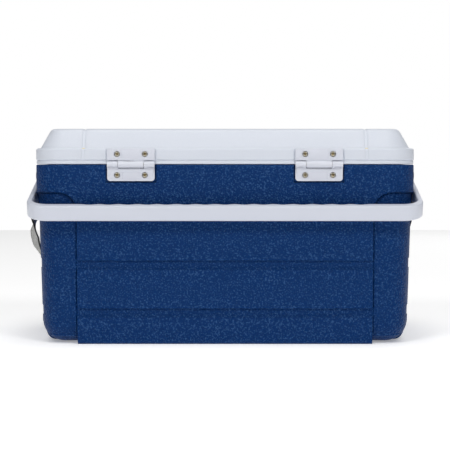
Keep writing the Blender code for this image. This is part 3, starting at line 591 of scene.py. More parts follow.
def boolean(piece: bpy.types.Object, tool: bpy.types.Object, operation: str = "DIFFERENCE") -> None:
    """Cut or join a piece with another shape, which is hidden."""
    cut = piece.modifiers.new(tool.name, "BOOLEAN")
    cut.operation = operation
    cut.object = tool
    cut.solver = "EXACT"
    tool.hide_render = True


def finished(piece: bpy.types.Object, angle: float = 35.0) -> bpy.types.Object:
    """Apply a piece's modifiers, remove its cutters and shade it smooth.

    Args:
        piece: The piece.
        angle: Edges sharper than this stay sharp, in degrees.

    Returns:
        The same object with a plain mesh.
    """
    tools = [m.object for m in piece.modifiers if m.type == "BOOLEAN"]
    graph = bpy.context.evaluated_depsgraph_get()
    mesh = bpy.data.meshes.new_from_object(piece.evaluated_get(graph), depsgraph=graph)
    piece.modifiers.clear()
    old = piece.data
    piece.data = mesh
    bpy.data.meshes.remove(old)
    for tool in tools:
        if tool.name in bpy.data.objects:
            bpy.data.objects.remove(tool, do_unlink=True)
    smooth(piece, angle)
    return piece


def prism(
    name: str,
    outline: Points,
    low: float,
    high: float,
    turn: Matrix | None = None,
    paint: Paint | None = None,
) -> bpy.types.Object:
    """Extrude an outline drawn in X and Z along Y.

    Args:
        name: The object's name.
        outline: Points in X and Z.
        low: Start along Y.
        high: End along Y.
        turn: A matrix applied to the finished shape.
        paint: Its finish.

    Returns:
        The new object.
    """
    shape = bmesh.new()
    near = [shape.verts.new((x, low, z)) for x, z in outline]
    far = [shape.verts.new((x, high, z)) for x, z in outline]
    shape.faces.new(near)
    shape.faces.new(far)
    for i, vert in enumerate(near):
        j = (i + 1) % len(near)
        shape.faces.new((vert, near[j], far[j], far[i]))
    if turn is not None:
        bmesh.ops.transform(shape, matrix=turn, verts=shape.verts)
    return object_from(name, shape, paint)


def box(name: str, low: Sequence[float], high: Sequence[float]) -> bpy.types.Object:
    """A box between two corners."""
    outline = [(low[0], low[2]), (high[0], low[2]), (high[0], high[2]), (low[0], high[2])]
    return prism(name, outline, low[1], high[1])


def rod(
    name: str,
    start: Sequence[float],
    end: Sequence[float],
    radius: float,
    steps: int = 48,
    paint: Paint | None = None,
) -> bpy.types.Object:
    """A round bar between two points."""
    begin, stop = Vector(start), Vector(end)
    along = stop - begin
    turn = along.to_track_quat("Z", "Y").to_matrix().to_4x4()
    shape = bmesh.new()
    bmesh.ops.create_cone(
        shape,
        cap_ends=True,
        segments=steps,
        radius1=radius,
        radius2=radius,
        depth=along.length,
        matrix=Matrix.Translation((begin + stop) / 2) @ turn,
    )
    return object_from(name, shape, paint)


def lathe(
    name: str, profile: Points, place: Sequence[float], direction: Sequence[float], steps: int, paint: Paint
) -> bpy.types.Object:
    """Spin a (radius, height) profile about an axis and close it.

    Args:
        name: The object's name.
        profile: Points from one end of the axis to the other.
        place: Where height 0 lies.
        direction: The axis.
        steps: Sides of the turned piece.
        paint: Its finish.

    Returns:
        The new object.
    """
    turn = Vector(direction).to_track_quat("Z", "Y").to_matrix().to_4x4()
    shape = bmesh.new()
    rings = []
    for radius, height in profile:
        if radius < 1e-7:
            rings.append([shape.verts.new((0, 0, height))])
            continue
        angles = [2 * math.pi * i / steps for i in range(steps)]
        places = [(radius * math.cos(a), radius * math.sin(a), height) for a in angles]
        rings.append([shape.verts.new(place) for place in places])
    for one, two in zip(rings, rings[1:]):
        for i in range(steps):
            j = (i + 1) % steps
            corners = [one[i % len(one)], one[j % len(one)], two[j % len(two)], two[i % len(two)]]
            shape.faces.new(dict.fromkeys(corners))
    bmesh.ops.transform(shape, matrix=Matrix.Translation(place) @ turn, verts=shape.verts)
    return object_from(name, shape, paint)


def rounded_outline(
    low: tuple[float, float],
    high: tuple[float, float],
    radii: tuple[float, float, float, float],
    steps: int = 6,
) -> Points:
    """A rectangle with its own radius at each corner.

    Args:
        low: Lowest corner.
        high: Highest corner.
        radii: Low left, low right, high right and high left radius; 0 is a sharp corner.
        steps: Chords of a rounded corner.

    Returns:
        The outline, anticlockwise.
    """
    corners = (
        (low[0], low[1], 1, 1, 180),
        (high[0], low[1], -1, 1, 270),
        (high[0], high[1], -1, -1, 0),
        (low[0], high[1], 1, -1, 90),
    )
    points: Points = []
    for (x, z, in_x, in_z, start), radius in zip(corners, radii):
        if radius > 0:
            points += arc((x + in_x * radius, z + in_z * radius), radius, start, start + 90, steps)
        else:
            points.append((x, z))
    return points


def keep(piece: bpy.types.Object, body: str, paint: Paint, *nodes: str) -> bpy.types.Object:
    """Fix a finished piece to a body, in place of CAD nodes.

    Args:
        piece: The finished piece.
        body: The body that it moves with.
        paint: Its finish; not used.
        nodes: The CAD nodes it stands for.

    Returns:
        The piece.
    """
    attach(piece, body)
    if nodes:
        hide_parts(*nodes)
    log.info("%s rides on %s and has %d faces", piece.name, body, len(piece.data.polygons))
    return piece


# ---- Skins: surfaces that follow the chest's rounded outline ----------------------------


def graded(half: float, coarse: float, zones: Iterable[tuple[float, float, float]]) -> np.ndarray:
    """Places along a side, close together in some zones and coarse elsewhere.

    Args:
        half: The side runs from -half to half.
        coarse: Widest spacing.
        zones: (start, end, spacing) on the positive side; each is mirrored.

    Returns:
        Rising coordinates.
    """
    marks = {-half, half}
    for start, end, step in zones:
        count = max(1, round((min(end, half) - start) / step))
        for value in np.linspace(start, min(end, half), count + 1):
            marks.update((round(float(value), 7), round(-float(value), 7)))
    places = sorted(marks)
    filled = [places[0]]
    for value in places[1:]:
        gap = value - filled[-1]
        parts = max(1, math.ceil(gap / coarse - 1e-6))
        begin = filled[-1]
        filled += [begin + gap * (i + 1) / parts for i in range(parts)]
    return np.array(filled)


@dataclass
class Outline:
    """The chest's rounded rectangle from above, as points with their outward directions.

    Attributes:
        half_x: Half the length.
        half_y: Half the depth.
        radius: Corner radius.
        zones_x: Finely spaced zones along the long sides.
        zones_y: Finely spaced zones along the short sides.
        corner_steps: Chords of each corner.
        coarse: Widest spacing on the straights.
    """

    half_x: float
    half_y: float
    radius: float
    zones_x: tuple[tuple[float, float, float], ...] = ()
    zones_y: tuple[tuple[float, float, float], ...] = ()
    corner_steps: int = 20
    coarse: float = 12 * MM
    place: np.ndarray = field(init=False)
    out: np.ndarray = field(init=False)

    def __post_init__(self) -> None:
        """Work out the points, anticlockwise from the +X side."""
        straight_x = graded(self.half_x - self.radius, self.coarse, self.zones_x)
        straight_y = graded(self.half_y - self.radius, self.coarse, self.zones_y)
        sides = (
            (straight_y, lambda t: (self.half_x, t), (1, 0)),
            (straight_x[::-1], lambda t: (t, self.half_y), (0, 1)),
            (straight_y[::-1], lambda t: (-self.half_x, t), (-1, 0)),
            (straight_x, lambda t: (t, -self.half_y), (0, -1)),
        )
        corners = ((1, 1, 0), (-1, 1, 90), (-1, -1, 180), (1, -1, 270))
        places, outs = [], []
        for (values, spot, out), (sign_x, sign_y, start) in zip(sides, corners):
            for value in values:
                places.append(spot(value))
                outs.append(out)
            mid = (
                sign_x * (self.half_x - self.radius),
                sign_y * (self.half_y - self.radius),
            )
            for i in range(1, self.corner_steps):
                turn = math.radians(start + 90 * i / self.corner_steps)
                outs.append((math.cos(turn), math.sin(turn)))
                places.append((mid[0] + self.radius * outs[-1][0], mid[1] + self.radius * outs[-1][1]))
        self.place = np.array(places)
        self.out = np.array(outs)


def skin(
    name: str,
    outline: Outline,
    levels: Sequence[tuple[float, float]],
    paint: Paint,
    shape_it: Callable[[np.ndarray, np.ndarray], tuple[np.ndarray, np.ndarray]] | None = None,
    closed: bool = False,
) -> bpy.types.Object:
    """A surface of level rings that follow the outline.

    Args:
        name: The object's name.
        outline: The chest's outline.
        levels: (inset, z) of each ring, in order along the profile.
        paint: Its finish.
        shape_it: Takes the insets and heights as (ring, point) arrays and returns new ones.
        closed: Whether the last ring joins the first; if not, both ends are capped.

    Returns:
        The new object.
    """
    count = len(outline.place)
    inset = np.repeat(np.array([level[0] for level in levels])[:, None], count, axis=1)
    height = np.repeat(np.array([level[1] for level in levels])[:, None], count, axis=1)
    if shape_it is not None:
        inset, height = shape_it(inset, height)
    ground = outline.place[None] - outline.out[None] * inset[:, :, None]
    verts = np.dstack([ground, height]).reshape(-1, 3)
    rings = len(levels)
    faces = []
    for i in range(rings if closed else rings - 1):
        here, there = i * count, ((i + 1) % rings) * count
        for j in range(count):
            k = (j + 1) % count
            faces.append((here + j, here + k, there + k, there + j))
    if not closed:
        faces += [tuple(range(count)), tuple(range((rings - 1) * count, rings * count))]
    mesh = bpy.data.meshes.new(name)
    mesh.from_pydata(verts.tolist(), [], faces)
    shape = bmesh.new()
    shape.from_mesh(mesh)
    bmesh.ops.recalc_face_normals(shape, faces=shape.faces)
    shape.to_mesh(mesh)
    shape.free()
    made = object_of(name, mesh, paint)
    smooth(made, 42)
    return made


@dataclass
class ChestForm:
    """Sizes that the body, the lid and their fittings share, from the frame's boxes."""

    corner: float = 40 * MM
    wall: float = 3 * MM
    draft: float = math.tan(math.radians(1.7))
    band: float = 36 * MM
    half_x: float = field(init=False)
    half_y: float = field(init=False)
    rim: float = field(init=False)
    lid_low: float = field(init=False)
    top: float = field(init=False)

    def __post_init__(self) -> None:
        """Read the driving sizes from the frame."""
        _, body_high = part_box("body_outer_shell")
        lid_low, lid_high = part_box("lid_outer_shell")
        self.half_x, self.half_y, self.rim = body_high
        self.lid_low, self.top = lid_low[2], lid_high[2]

    def drafted(self, z: np.ndarray | float) -> np.ndarray | float:
        """How far the draft brings the walls in at a height."""
        return np.maximum(self.rim - self.band - z, 0.0) * self.draft


FRAME: dict = {}


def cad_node(name: str) -> bpy.types.Object:
    """A CAD node's object."""
    return FRAME["nodes"][name]


def dress(piece: bpy.types.Object, paint: Paint) -> None:
    """Give a CAD node its finish."""
    piece.data.materials.clear()
    piece.data.materials.append(paint.material)


@dataclass
class Seat:
    """A shallow pocket in the walls for a hinge or latch plate."""

    middle: float
    half: float
    low: float
    side: int


def plate_seats(margin: float = 1.8 * MM) -> list[Seat]:
    """The plates' pockets, worked out from the frame."""
    seats = []
    for node, side in (("hinge_left_body_leaf", 1), ("hinge_right_body_leaf", 1), ("latch_keeper", -1)):
        low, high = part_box(node)
        half = (high[0] - low[0]) / 2 + margin
        seats.append(Seat((low[0] + high[0]) / 2, half, low[2] - margin, side))
    return seats


def seat_zones(seats: list[Seat], step: float = 0.4 * MM) -> list[tuple[float, float, float]]:
    """Finely spaced zones at the upright edges of the pockets."""
    edges = {round(abs(abs(seat.middle) + sign * seat.half), 5) for seat in seats for sign in (1, -1)}
    return [(edge - 2 * step, edge + 2 * step, step) for edge in sorted(edges)]


def seat_mask(outline: Outline, seats: list[Seat]) -> list[np.ndarray]:
    """How far each outline point is inside each pocket's width, from 0 to 1."""
    masks = []
    for seat in seats:
        across = soft_step((seat.half - np.abs(outline.place[:, 0] - seat.middle)) / (0.5 * MM) + 0.5)
        masks.append(across * (outline.place[:, 1] * seat.side > outline.half_y - MM))
    return masks


def rounded_foot(radius: float, z: np.ndarray) -> np.ndarray:
    """Inset of a rounded bottom edge at each height."""
    left = np.clip(radius - z, 0, radius)
    return radius - np.sqrt(radius**2 - left**2)


@dataclass
class Body:
    """The foamed body: pebbled outer shell, foam and white liner."""

    form: ChestForm
    recess: float = 3.5 * MM
    pillar_side: float = 57 * MM
    arch: float = 25 * MM
    groove_tops: tuple[float, float] = (47 * MM, 110 * MM)
    groove_height: float = 12.5 * MM
    groove_depth: float = 3.1 * MM
    foot_round: float = 4 * MM
    base_round: float = 27 * MM
    foot_height: float = 1.5 * MM
    rim_round: float = 1.5 * MM
    insulation: float = 24.5 * MM
    floor: float = 28 * MM
    pocket_depth: float = 2.5 * MM
    crease: float = 1.1 * MM

    def pillar_depth(self, u: np.ndarray, z: np.ndarray, half: float) -> np.ndarray:
        """Distance inside a corner pillar's arched window, along one side.

        Args:
            u: Distance from the side's middle.
            z: Height.
            half: Half the side's length.

        Returns:
            Signed distance, positive inside the window.
        """
        edge, top = half - self.pillar_side, self.form.rim - self.form.band
        across, up = edge + self.arch - u, z - (top - self.arch)
        straight = np.minimum(u - edge, top - z)
        rounded = self.arch - np.hypot(np.maximum(across, 0), np.maximum(up, 0))
        return np.where((across > 0) & (up > 0), rounded, straight)

    def shell_shape(self, outline: Outline) -> Callable:
        """The function that turns plain rings into the moulded outer wall."""
        form = self.form
        x, y = np.abs(outline.place[:, 0]), np.abs(outline.place[:, 1])
        by_side = (x >= form.half_x - MM)[None, :] & (y <= form.half_y - self.pillar_side)[None, :]
        seats = plate_seats()
        masks = seat_mask(outline, seats)

        def shaped(inset: np.ndarray, z: np.ndarray) -> tuple[np.ndarray, np.ndarray]:
            """Pads, grooves, pillars, feet and pockets."""
            reach = self.pillar_side - self.arch
            by_x = np.where(y >= form.half_y - reach, self.pillar_depth(x, z, form.half_x), -1)
            by_y = np.where(x >= form.half_x - reach, self.pillar_depth(y, z, form.half_y), -1)
            inside = np.maximum(by_x, by_y)
            pillar = soft_step(inside / (1.1 * MM) + 0.2)
            crease = self.crease * np.exp(-(((inside - 1.0 * MM) / (0.55 * MM)) ** 2))
            groove = np.zeros_like(z)
            for top in self.groove_tops:
                rise = np.clip((z - (top - self.groove_height)) / self.groove_depth, 0, 1)
                lip = 1 - soft_step((z - top + 0.9 * MM) / (1.3 * MM))
                groove = np.maximum(groove, self.groove_depth * rise * lip)
            foot = np.where(by_side, rounded_foot(self.base_round, z), rounded_foot(self.foot_round, z))
            pad = groove + foot
            corner = self.recess + rounded_foot(self.base_round, z)
            wall = form.drafted(z) + pad * (1 - pillar) + corner * pillar + crease * (z > 9 * MM)
            lift = self.foot_height * pillar * np.clip(1 - z / self.base_round, 0, 1)
            for seat, near in zip(seats, masks):
                high = soft_step((z - seat.low) / (0.5 * MM) + 0.5)
                wall = np.maximum(wall, self.pocket_depth * near * high)
            return inset + wall, z + lift

        return shaped

    def build(self) -> None:
        """Outer shell, liner, and the foam's finish."""
        form = self.form
        seats = plate_seats()
        panel = self.pillar_side
        sides = []
        for half in (form.half_x, form.half_y):
            edge, corner = half - panel, half - form.corner
            step = edge + 2.6 * MM
            sides.append([(edge - 1.2 * MM, step, 0.38 * MM), (step, corner, 0.8 * MM)])
        outline = Outline(
            form.half_x,
            form.half_y,
            form.corner,
            tuple(sides[0] + seat_zones(seats)),
            tuple(sides[1]),
            corner_steps=26,
            coarse=10 * MM,
        )
        top = form.rim - form.band
        heights = [0, 0.1, 0.4, 0.9, 1.6, 2.6, 3.8, 5.2, 7, 9.5, 12, 14.5, 17, 20]
        marks = [value * MM for value in heights]
        for high in self.groove_tops:
            low = high - self.groove_height
            marks += [low - 1.2 * MM, *np.arange(low - 0.3 * MM, low + 4.2 * MM, 0.5 * MM)]
            marks += [*np.arange(high - 1.6 * MM, high + 1.8 * MM, 0.3 * MM)]
        marks += [*np.arange(top - self.arch - 2 * MM, top - 5 * MM, 0.9 * MM)]
        marks += [*np.arange(top - 4.5 * MM, top + 1.2 * MM, 0.45 * MM)]
        pocket = seats[0].low
        marks += [*np.arange(pocket - 0.9 * MM, pocket + 1.0 * MM, 0.3 * MM)]
        marks = sorted(marks)
        filled = [marks[0]]
        for value in marks[1:]:
            parts = max(1, math.ceil((value - filled[-1]) / (7 * MM)))
            begin = filled[-1]
            filled += [begin + (value - begin) * (i + 1) / parts for i in range(parts)]
        rise = form.rim - self.rim_round
        levels = [(9 * MM, 0), (4 * MM, 0)] + [(0, z) for z in filled]
        levels += [(0, (filled[-1] + rise) / 2)]
        levels += arc((self.rim_round, rise), self.rim_round, 180, 90, 6)
        levels += [(form.wall - 0.4 * MM, form.rim), (form.wall, form.rim - 0.4 * MM)]
        shaped = self.shell_shape(outline)
        split = len(levels)
        inner = [(0, top + form.wall), (0, top), (0, 30 * MM), (2 * MM, 10 * MM), (16 * MM, 4.5 * MM)]
        levels += inner

        def with_inside(inset: np.ndarray, z: np.ndarray) -> tuple[np.ndarray, np.ndarray]:
            """Mould the outside, and keep the inside plain."""
            outside, lifted = shaped(inset[:split], z[:split])
            extra = np.where(z[split:] > top + MM, form.wall, self.recess + form.wall)
            inside = inset[split:] + extra + form.drafted(z[split:])
            return np.vstack([outside, inside]), np.vstack([lifted, z[split:]])

        shell = skin("body_shell", outline, levels, Paint.BODY, with_inside)
        keep(shell, "chest", Paint.BODY, "body_outer_shell")
        self.build_liner()
        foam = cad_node("body_foam")
        dress(foam, Paint.FOAM)

    def build_liner(self) -> None:
        """The white storage cavity with its level flange."""
        form = self.form
        inset, edge = self.insulation, form.wall + 0.5 * MM
        rim, thick = form.rim, form.wall
        turn = 1.2 * MM
        bottom = 12 * MM
        low = form.drafted(self.floor)
        levels: Levels = [(edge, rim - thick), (edge, rim - 0.3 * MM), (edge + 0.3 * MM, rim)]
        levels += arc((inset - turn, rim - turn), turn, 90, 0, 5)
        levels += [(inset, rim - form.band)]
        levels += arc((inset + low + bottom, self.floor + bottom), bottom, 180, 270, 8)
        inside = len(levels)
        outer = inset - thick
        round_out = bottom + thick
        levels += arc((outer + low + round_out, self.floor + bottom), round_out, 270, 180, 8)[1:]
        levels += [(outer, rim - form.band), (outer, rim - thick)]
        outline = Outline(form.half_x, form.half_y, form.corner, corner_steps=18, coarse=60 * MM)
        count = len(outline.place)
        liner = skin("storage_liner", outline, levels, Paint.LINER, closed=True)
        shape = bmesh.new()
        shape.from_mesh(liner.data)
        shape.verts.ensure_lookup_table()
        for ring in (inside - 1, inside):
            shape.faces.new([shape.verts[ring * count + i] for i in range(count)])
        bridge = [
            face
            for face in shape.faces
            if len(face.verts) == 4
            and {v.index // count for v in face.verts} == {inside - 1, inside}
        ]
        bmesh.ops.delete(shape, geom=bridge, context="FACES_ONLY")
        bmesh.ops.recalc_face_normals(shape, faces=shape.faces)
        shape.to_mesh(liner.data)
        shape.free()
        smooth(liner, 42)
        keep(liner, "chest", Paint.LINER, "body_inner_liner")


@dataclass
class Lid:
    """The lid: grained outer shell, smooth inner panel with its plug, and the gasket."""

    form: ChestForm
    lip: float = 5.5 * MM
    flange: float = 21.5 * MM
    groove_x: float = 184 * MM
    groove_half: float = 2 * MM
    groove_depth: float = 0.9 * MM
    pocket_depth: float = 1.2 * MM
    plate_rise: float = 22.2 * MM
    plug_inset: float = 26.5 * MM
    gasket_inset: float = 11.8 * MM
    gasket_width: float = 6 * MM

    def profile(self) -> Levels:
        """The outside from the rim to the flat top, as (inset, z)."""
        form = self.form
        rim, lip, flange, top = form.lid_low, form.rim + self.lip, form.rim + self.flange, form.top
        levels: Levels = [(3 * MM, rim), (1.4 * MM, rim)]
        levels += arc((1.3 * MM, rim + 0.8 * MM), 0.8 * MM, 270, 180, 4)[1:]
        levels += [(0.5 * MM, lip - 0.7 * MM)]
        levels += [(0.8 * MM, lip - 0.25 * MM), (1.2 * MM, lip), (1.2 * MM, lip + 0.45 * MM)]
        levels += [(0.5 * MM, lip + 0.6 * MM), (0.1 * MM, lip + 0.9 * MM), (0, lip + 1.3 * MM)]
        levels += [(0, lip + 4 * MM), (0, lip + 8 * MM), (0, flange - 4 * MM)]
        levels += arc((3 * MM, flange - 3 * MM), 3 * MM, 180, 90, 7)
        levels += [(4.2 * MM, flange), (5.2 * MM, flange + 0.1 * MM), (5.9 * MM, flange + 0.45 * MM)]
        levels += [(6.5 * MM, flange + 1.0 * MM), (7.2 * MM, flange + 2.0 * MM)]
        levels += [(10.6 * MM, flange + 8.0 * MM), (14.5 * MM, flange + 14.9 * MM)]
        levels += [(17.6 * MM, top - 5.1 * MM), (18.5 * MM, top - 3.7 * MM), (19.5 * MM, top - 2.4 * MM)]
        levels += [(20.9 * MM, top - 1.2 * MM), (22.6 * MM, top - 0.4 * MM), (24.8 * MM, top - 0.05 * MM)]
        levels += [(27 * MM, top)]
        return levels

    def build(self) -> None:
        """Shell, inner panel and gasket; the foam keeps its shape and gets its finish."""
        form = self.form
        seats = plate_seats()
        zones = seat_zones(seats) + [(self.groove_x - 2.6 * MM, self.groove_x + 2.6 * MM, 0.4 * MM)]
        outline = Outline(
            form.half_x, form.half_y, form.corner, tuple(zones), corner_steps=26, coarse=8 * MM
        )
        levels = self.profile()
        split = len(levels)
        inner = [(i + 2.6 * MM, z - 2.2 * MM) for i, z in levels[-1:12:-2]] + [(3 * MM, form.rim + 12 * MM)]
        levels = levels + inner
        count = len(outline.place)
        tangent = np.gradient(np.array(levels[:split]), axis=0)
        tangent /= np.maximum(np.hypot(tangent[:, 0], tangent[:, 1]), 1e-9)[:, None]
        across = np.abs(np.abs(outline.place[:, 0]) - self.groove_x)
        ends = np.abs(outline.out[:, 1]) > 0.99
        cut = self.groove_depth * soft_step((self.groove_half - across) / (0.9 * MM) + 0.5) * ends
        masks = seat_mask(outline, seats)

        def with_grooves(inset: np.ndarray, z: np.ndarray) -> tuple[np.ndarray, np.ndarray]:
            """Cross grooves over the slope and top, and the pockets of the plates."""
            above = (z[:split] > form.rim + self.lip + MM).astype(float)
            inset[:split] += cut[None] * above * tangent[:, 1:2]
            z[:split] -= cut[None] * above * tangent[:, 0:1]
            low = z[:split] < form.rim + self.plate_rise
            for mask in masks:
                inset[:split] = np.maximum(inset[:split], self.pocket_depth * mask[None] * low)
            return inset, z

        shell = skin("lid_shell", outline, levels, Paint.LID, with_grooves, closed=True)
        shape = bmesh.new()
        shape.from_mesh(shell.data)
        shape.verts.ensure_lookup_table()
        top_ring, under_ring = (split - 1) * count, split * count
        bridge = [f for f in shape.faces if {v.index // count for v in f.verts} == {split - 1, split}]
        bmesh.ops.delete(shape, geom=bridge, context="FACES_ONLY")
        for ring in (top_ring, under_ring):
            self.close_across(shape, outline, ring)
        bmesh.ops.recalc_face_normals(shape, faces=shape.faces)
        shape.to_mesh(shell.data)
        shape.free()
        smooth(shell, 42)
        keep(shell, "lid", Paint.LID, "lid_outer_shell")
        dress(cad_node("lid_foam"), Paint.FOAM)
        self.build_panel()
        self.build_gasket()

    def close_across(self, shape: bmesh.types.BMesh, outline: Outline, ring: int) -> None:
        """Close a ring with strips from back to front, so that the grooves run across it.

        Args:
            shape: The lid's mesh.
            outline: The outline that its rings follow.
            ring: Index of the ring's first point.
        """
        straight = np.abs(outline.out[:, 1]) > 0.999
        back = [i for i in range(len(straight)) if straight[i] and outline.out[i, 1] > 0]
        front = [i for i in range(len(straight)) if straight[i] and outline.out[i, 1] < 0]
        back.sort(key=lambda i: -outline.place[i, 0])
        front.sort(key=lambda i: -outline.place[i, 0])
        for a, b, c, d in zip(back, back[1:], front, front[1:]):
            shape.faces.new([shape.verts[ring + i] for i in (a, b, d, c)])
        count = len(straight)
        for start, stop in ((front[0], back[0]), (back[-1], front[-1])):
            side = [start]
            while side[-1] != stop:
                side.append((side[-1] + 1) % count)
            shape.faces.new([shape.verts[ring + i] for i in side])

    def build_panel(self) -> None:
        """The inner panel: a flat tray with a channel for the gasket and a dished plug."""
        form = self.form
        low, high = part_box("lid_inner_panel")
        under, plug = form.rim + MM, low[2]
        edge, seat = 3.5 * MM, self.gasket_inset - 0.3 * MM
        levels: Levels = [(edge, high[2]), (edge, under + 0.3 * MM), (edge + 0.3 * MM, under)]
        levels += [(seat, under), (seat, under + 2.3 * MM), (seat + 6.6 * MM, under + 2.3 * MM)]
        levels += [(seat + 6.6 * MM, under), (self.plug_inset - MM, under)]
        levels += arc((self.plug_inset - MM, under - MM), MM, 90, 0, 4)[1:]
        levels += arc((self.plug_inset + 3.2 * MM, plug + 3.2 * MM), 3.2 * MM, 180, 270, 6)
        dish = form.corner - 5 * MM
        levels += [(dish, plug), (dish + 0.6 * MM, plug + 0.3 * MM), (dish + 1.8 * MM, plug + 1.5 * MM)]
        levels += [(dish + 2.8 * MM, plug + 2.0 * MM)]
        outline = Outline(form.half_x, form.half_y, form.corner, corner_steps=22, coarse=60 * MM)
        panel = skin("lid_panel", outline, levels, Paint.LINER)
        keep(panel, "lid", Paint.LINER, "lid_inner_panel")

    def build_gasket(self) -> None:
        """A rubber bulb gasket with a soft round face."""
        low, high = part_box("lid_gasket")
        bottom, top = low[2], high[2]
        middle, half = self.gasket_inset + self.gasket_width / 2, self.gasket_width / 2
        crown = [
            (middle - half * math.cos(t), top - (top - bottom) * math.sin(t) ** 0.7)
            for t in np.linspace(0, math.pi, 15)
        ]
        form = self.form
        outline = Outline(form.half_x, form.half_y, form.corner, corner_steps=22, coarse=60 * MM)
        gasket = skin("gasket", outline, crown, Paint.GASKET, closed=True)
        keep(gasket, "lid", Paint.GASKET, "lid_gasket")


@dataclass
class Hinge:
    """A moulded nylon hinge: two leaves that share a barrel, and a steel pin."""

    side: str
    thick: float = 3.2 * MM
    barrel: float = 4.2 * MM
    pin: float = 1.75 * MM
    corner: float = 4 * MM
    knuckle: float = 16.5 * MM
    gap: float = 0.5 * MM
    counterbore: float = 4.1 * MM
    counterbore_depth: float = 1.8 * MM
    field_depth: float = 1.0 * MM
    low_field: float = 11 * MM
    high_field: float = 12.3 * MM
    ear: float = 24 * MM
    scoop: float = 7.7 * MM

    def build(self, axis: Sequence[float]) -> None:
        """Both leaves and the pin.

        Args:
            axis: The hinge joint's place.
        """
        low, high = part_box(f"hinge_{self.side}_body_leaf")
        _, lid_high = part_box(f"hinge_{self.side}_lid_leaf")
        x, half = (low[0] + high[0]) / 2, (high[0] - low[0]) / 2
        back = low[1]
        face = back + self.thick
        y, z = axis[1], axis[2]
        swing = self.barrel + 0.9 * MM
        name = f"{self.side}_hinge"

        outline = rounded_outline((x - half, low[2]), (x + half, z), (self.corner, self.corner, 0, 0), 8)
        leaf = prism(f"{name}_body_leaf", outline, back, face, paint=Paint.HINGE)
        boolean(leaf, rod(f"{name}_ears", (x - half, y, z), (x + half, y, z), self.barrel, 40), "UNION")
        for sign in (1, -1):
            middle, radius = x + sign * self.ear, self.scoop
            top = z - 1.9 * MM
            centre = top - radius
            near, far = (middle, face, centre), (middle, face + 12 * MM, centre)
            scoop = rod(f"{name}_scoop_{sign}", near, far, radius, 56)
            boolean(leaf, scoop)
        slot = self.knuckle + self.gap
        boolean(
            leaf,
            box(
                f"{name}_notch",
                (x - slot, back - 5 * MM, z - swing + 0.1 * MM),
                (x + slot, y + 12 * MM, z + 12 * MM),
            ),
        )
        ends = low[2] + 2.4 * MM, z - swing - 4.2 * MM
        self.field(leaf, f"{name}_low_field", x, self.low_field, *ends, face)
        self.screw_seats(leaf, f"hinge_{self.side}_body_screw", face)
        self.bore(leaf, f"{name}_body_bore", x, half, y, z)
        bevel(leaf, 0.35 * MM, 2, 38)
        keep(finished(leaf), "chest", Paint.HINGE, f"hinge_{self.side}_body_leaf")

        split = z + swing + 0.3 * MM
        top = lid_high[2]
        outline = rounded_outline((x - half, split), (x + half, top), (0, 0, 1.5 * MM, 1.5 * MM), 5)
        leaf = prism(f"{name}_lid_leaf", outline, back, face, paint=Paint.HINGE)
        tab = box(f"{name}_tab", (x - self.knuckle, back, z), (x + self.knuckle, face, split + 3 * MM))
        boolean(leaf, tab, "UNION")
        centre = rod(
            f"{name}_centre", (x - self.knuckle, y, z), (x + self.knuckle, y, z), self.barrel, 40
        )
        boolean(leaf, centre, "UNION")
        ends = split + 2.6 * MM, top + MM
        self.field(leaf, f"{name}_high_field", x, self.high_field, *ends, face)
        self.screw_seats(leaf, f"hinge_{self.side}_lid_screw", face)
        self.bore(leaf, f"{name}_lid_bore", x, half, y, z)
        bevel(leaf, 0.35 * MM, 2, 38)
        keep(finished(leaf), "lid", Paint.HINGE, f"hinge_{self.side}_lid_leaf")

        reach = half - 0.5 * MM
        pin = rod(f"{name}_pin", (x - reach, y, z), (x + reach, y, z), self.pin, 32, Paint.STEEL)
        bevel(pin, 0.3 * MM, 2)
        keep(finished(pin), "chest", Paint.STEEL, f"hinge_{self.side}_pin")

    def field(
        self, leaf: bpy.types.Object, name: str, x: float, half: float, low: float, high: float, face: float
    ) -> None:
        """Sink a shallow field into a leaf's face."""
        tool = prism(
            name,
            rounded_outline((x - half, low), (x + half, high), (0.8 * MM,) * 4, 4),
            face - self.field_depth,
            face + 9 * MM,
        )
        boolean(leaf, tool)

    def screw_seats(self, leaf: bpy.types.Object, screw: str, face: float) -> None:
        """Counterbore and shank hole for a leaf's two screws."""
        for letter in "ab":
            low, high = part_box(f"{screw}_{letter}")
            place_x, place_z = (low[0] + high[0]) / 2, (low[2] + high[2]) / 2
            end = (place_x, face + 8 * MM, place_z)
            seat = (self.counterbore, self.counterbore_depth, 36)
            for radius, depth, steps in (seat, (1.9 * MM, 8 * MM, 20)):
                start = (place_x, face - depth, place_z)
                boolean(leaf, rod(f"{screw}_{letter}_{steps}", start, end, radius, steps))

    def bore(self, leaf: bpy.types.Object, name: str, x: float, half: float, y: float, z: float) -> None:
        """The pin's bore through a leaf."""
        reach = half + 10 * MM
        boolean(leaf, rod(name, (x - reach, y, z), (x + reach, y, z), self.pin + 0.3 * MM, 32))


def new_tree(name: str, inputs: dict[str, str]) -> tuple[bpy.types.NodeTree, bpy.types.Node]:
    """A Geometry Nodes tree with its named inputs.

    Args:
        name: The tree's name.
        inputs: Input names and socket types.

    Returns:
        The tree and its Group Input node.
    """
    tree = bpy.data.node_groups.new(name, "GeometryNodeTree")
    tree.interface.new_socket("Geometry", in_out="INPUT", socket_type="NodeSocketGeometry")
    for label, kind in inputs.items():
        tree.interface.new_socket(label, in_out="INPUT", socket_type=kind)
    tree.interface.new_socket("Geometry", in_out="OUTPUT", socket_type="NodeSocketGeometry")
    return tree, add_node(tree, "NodeGroupInput")


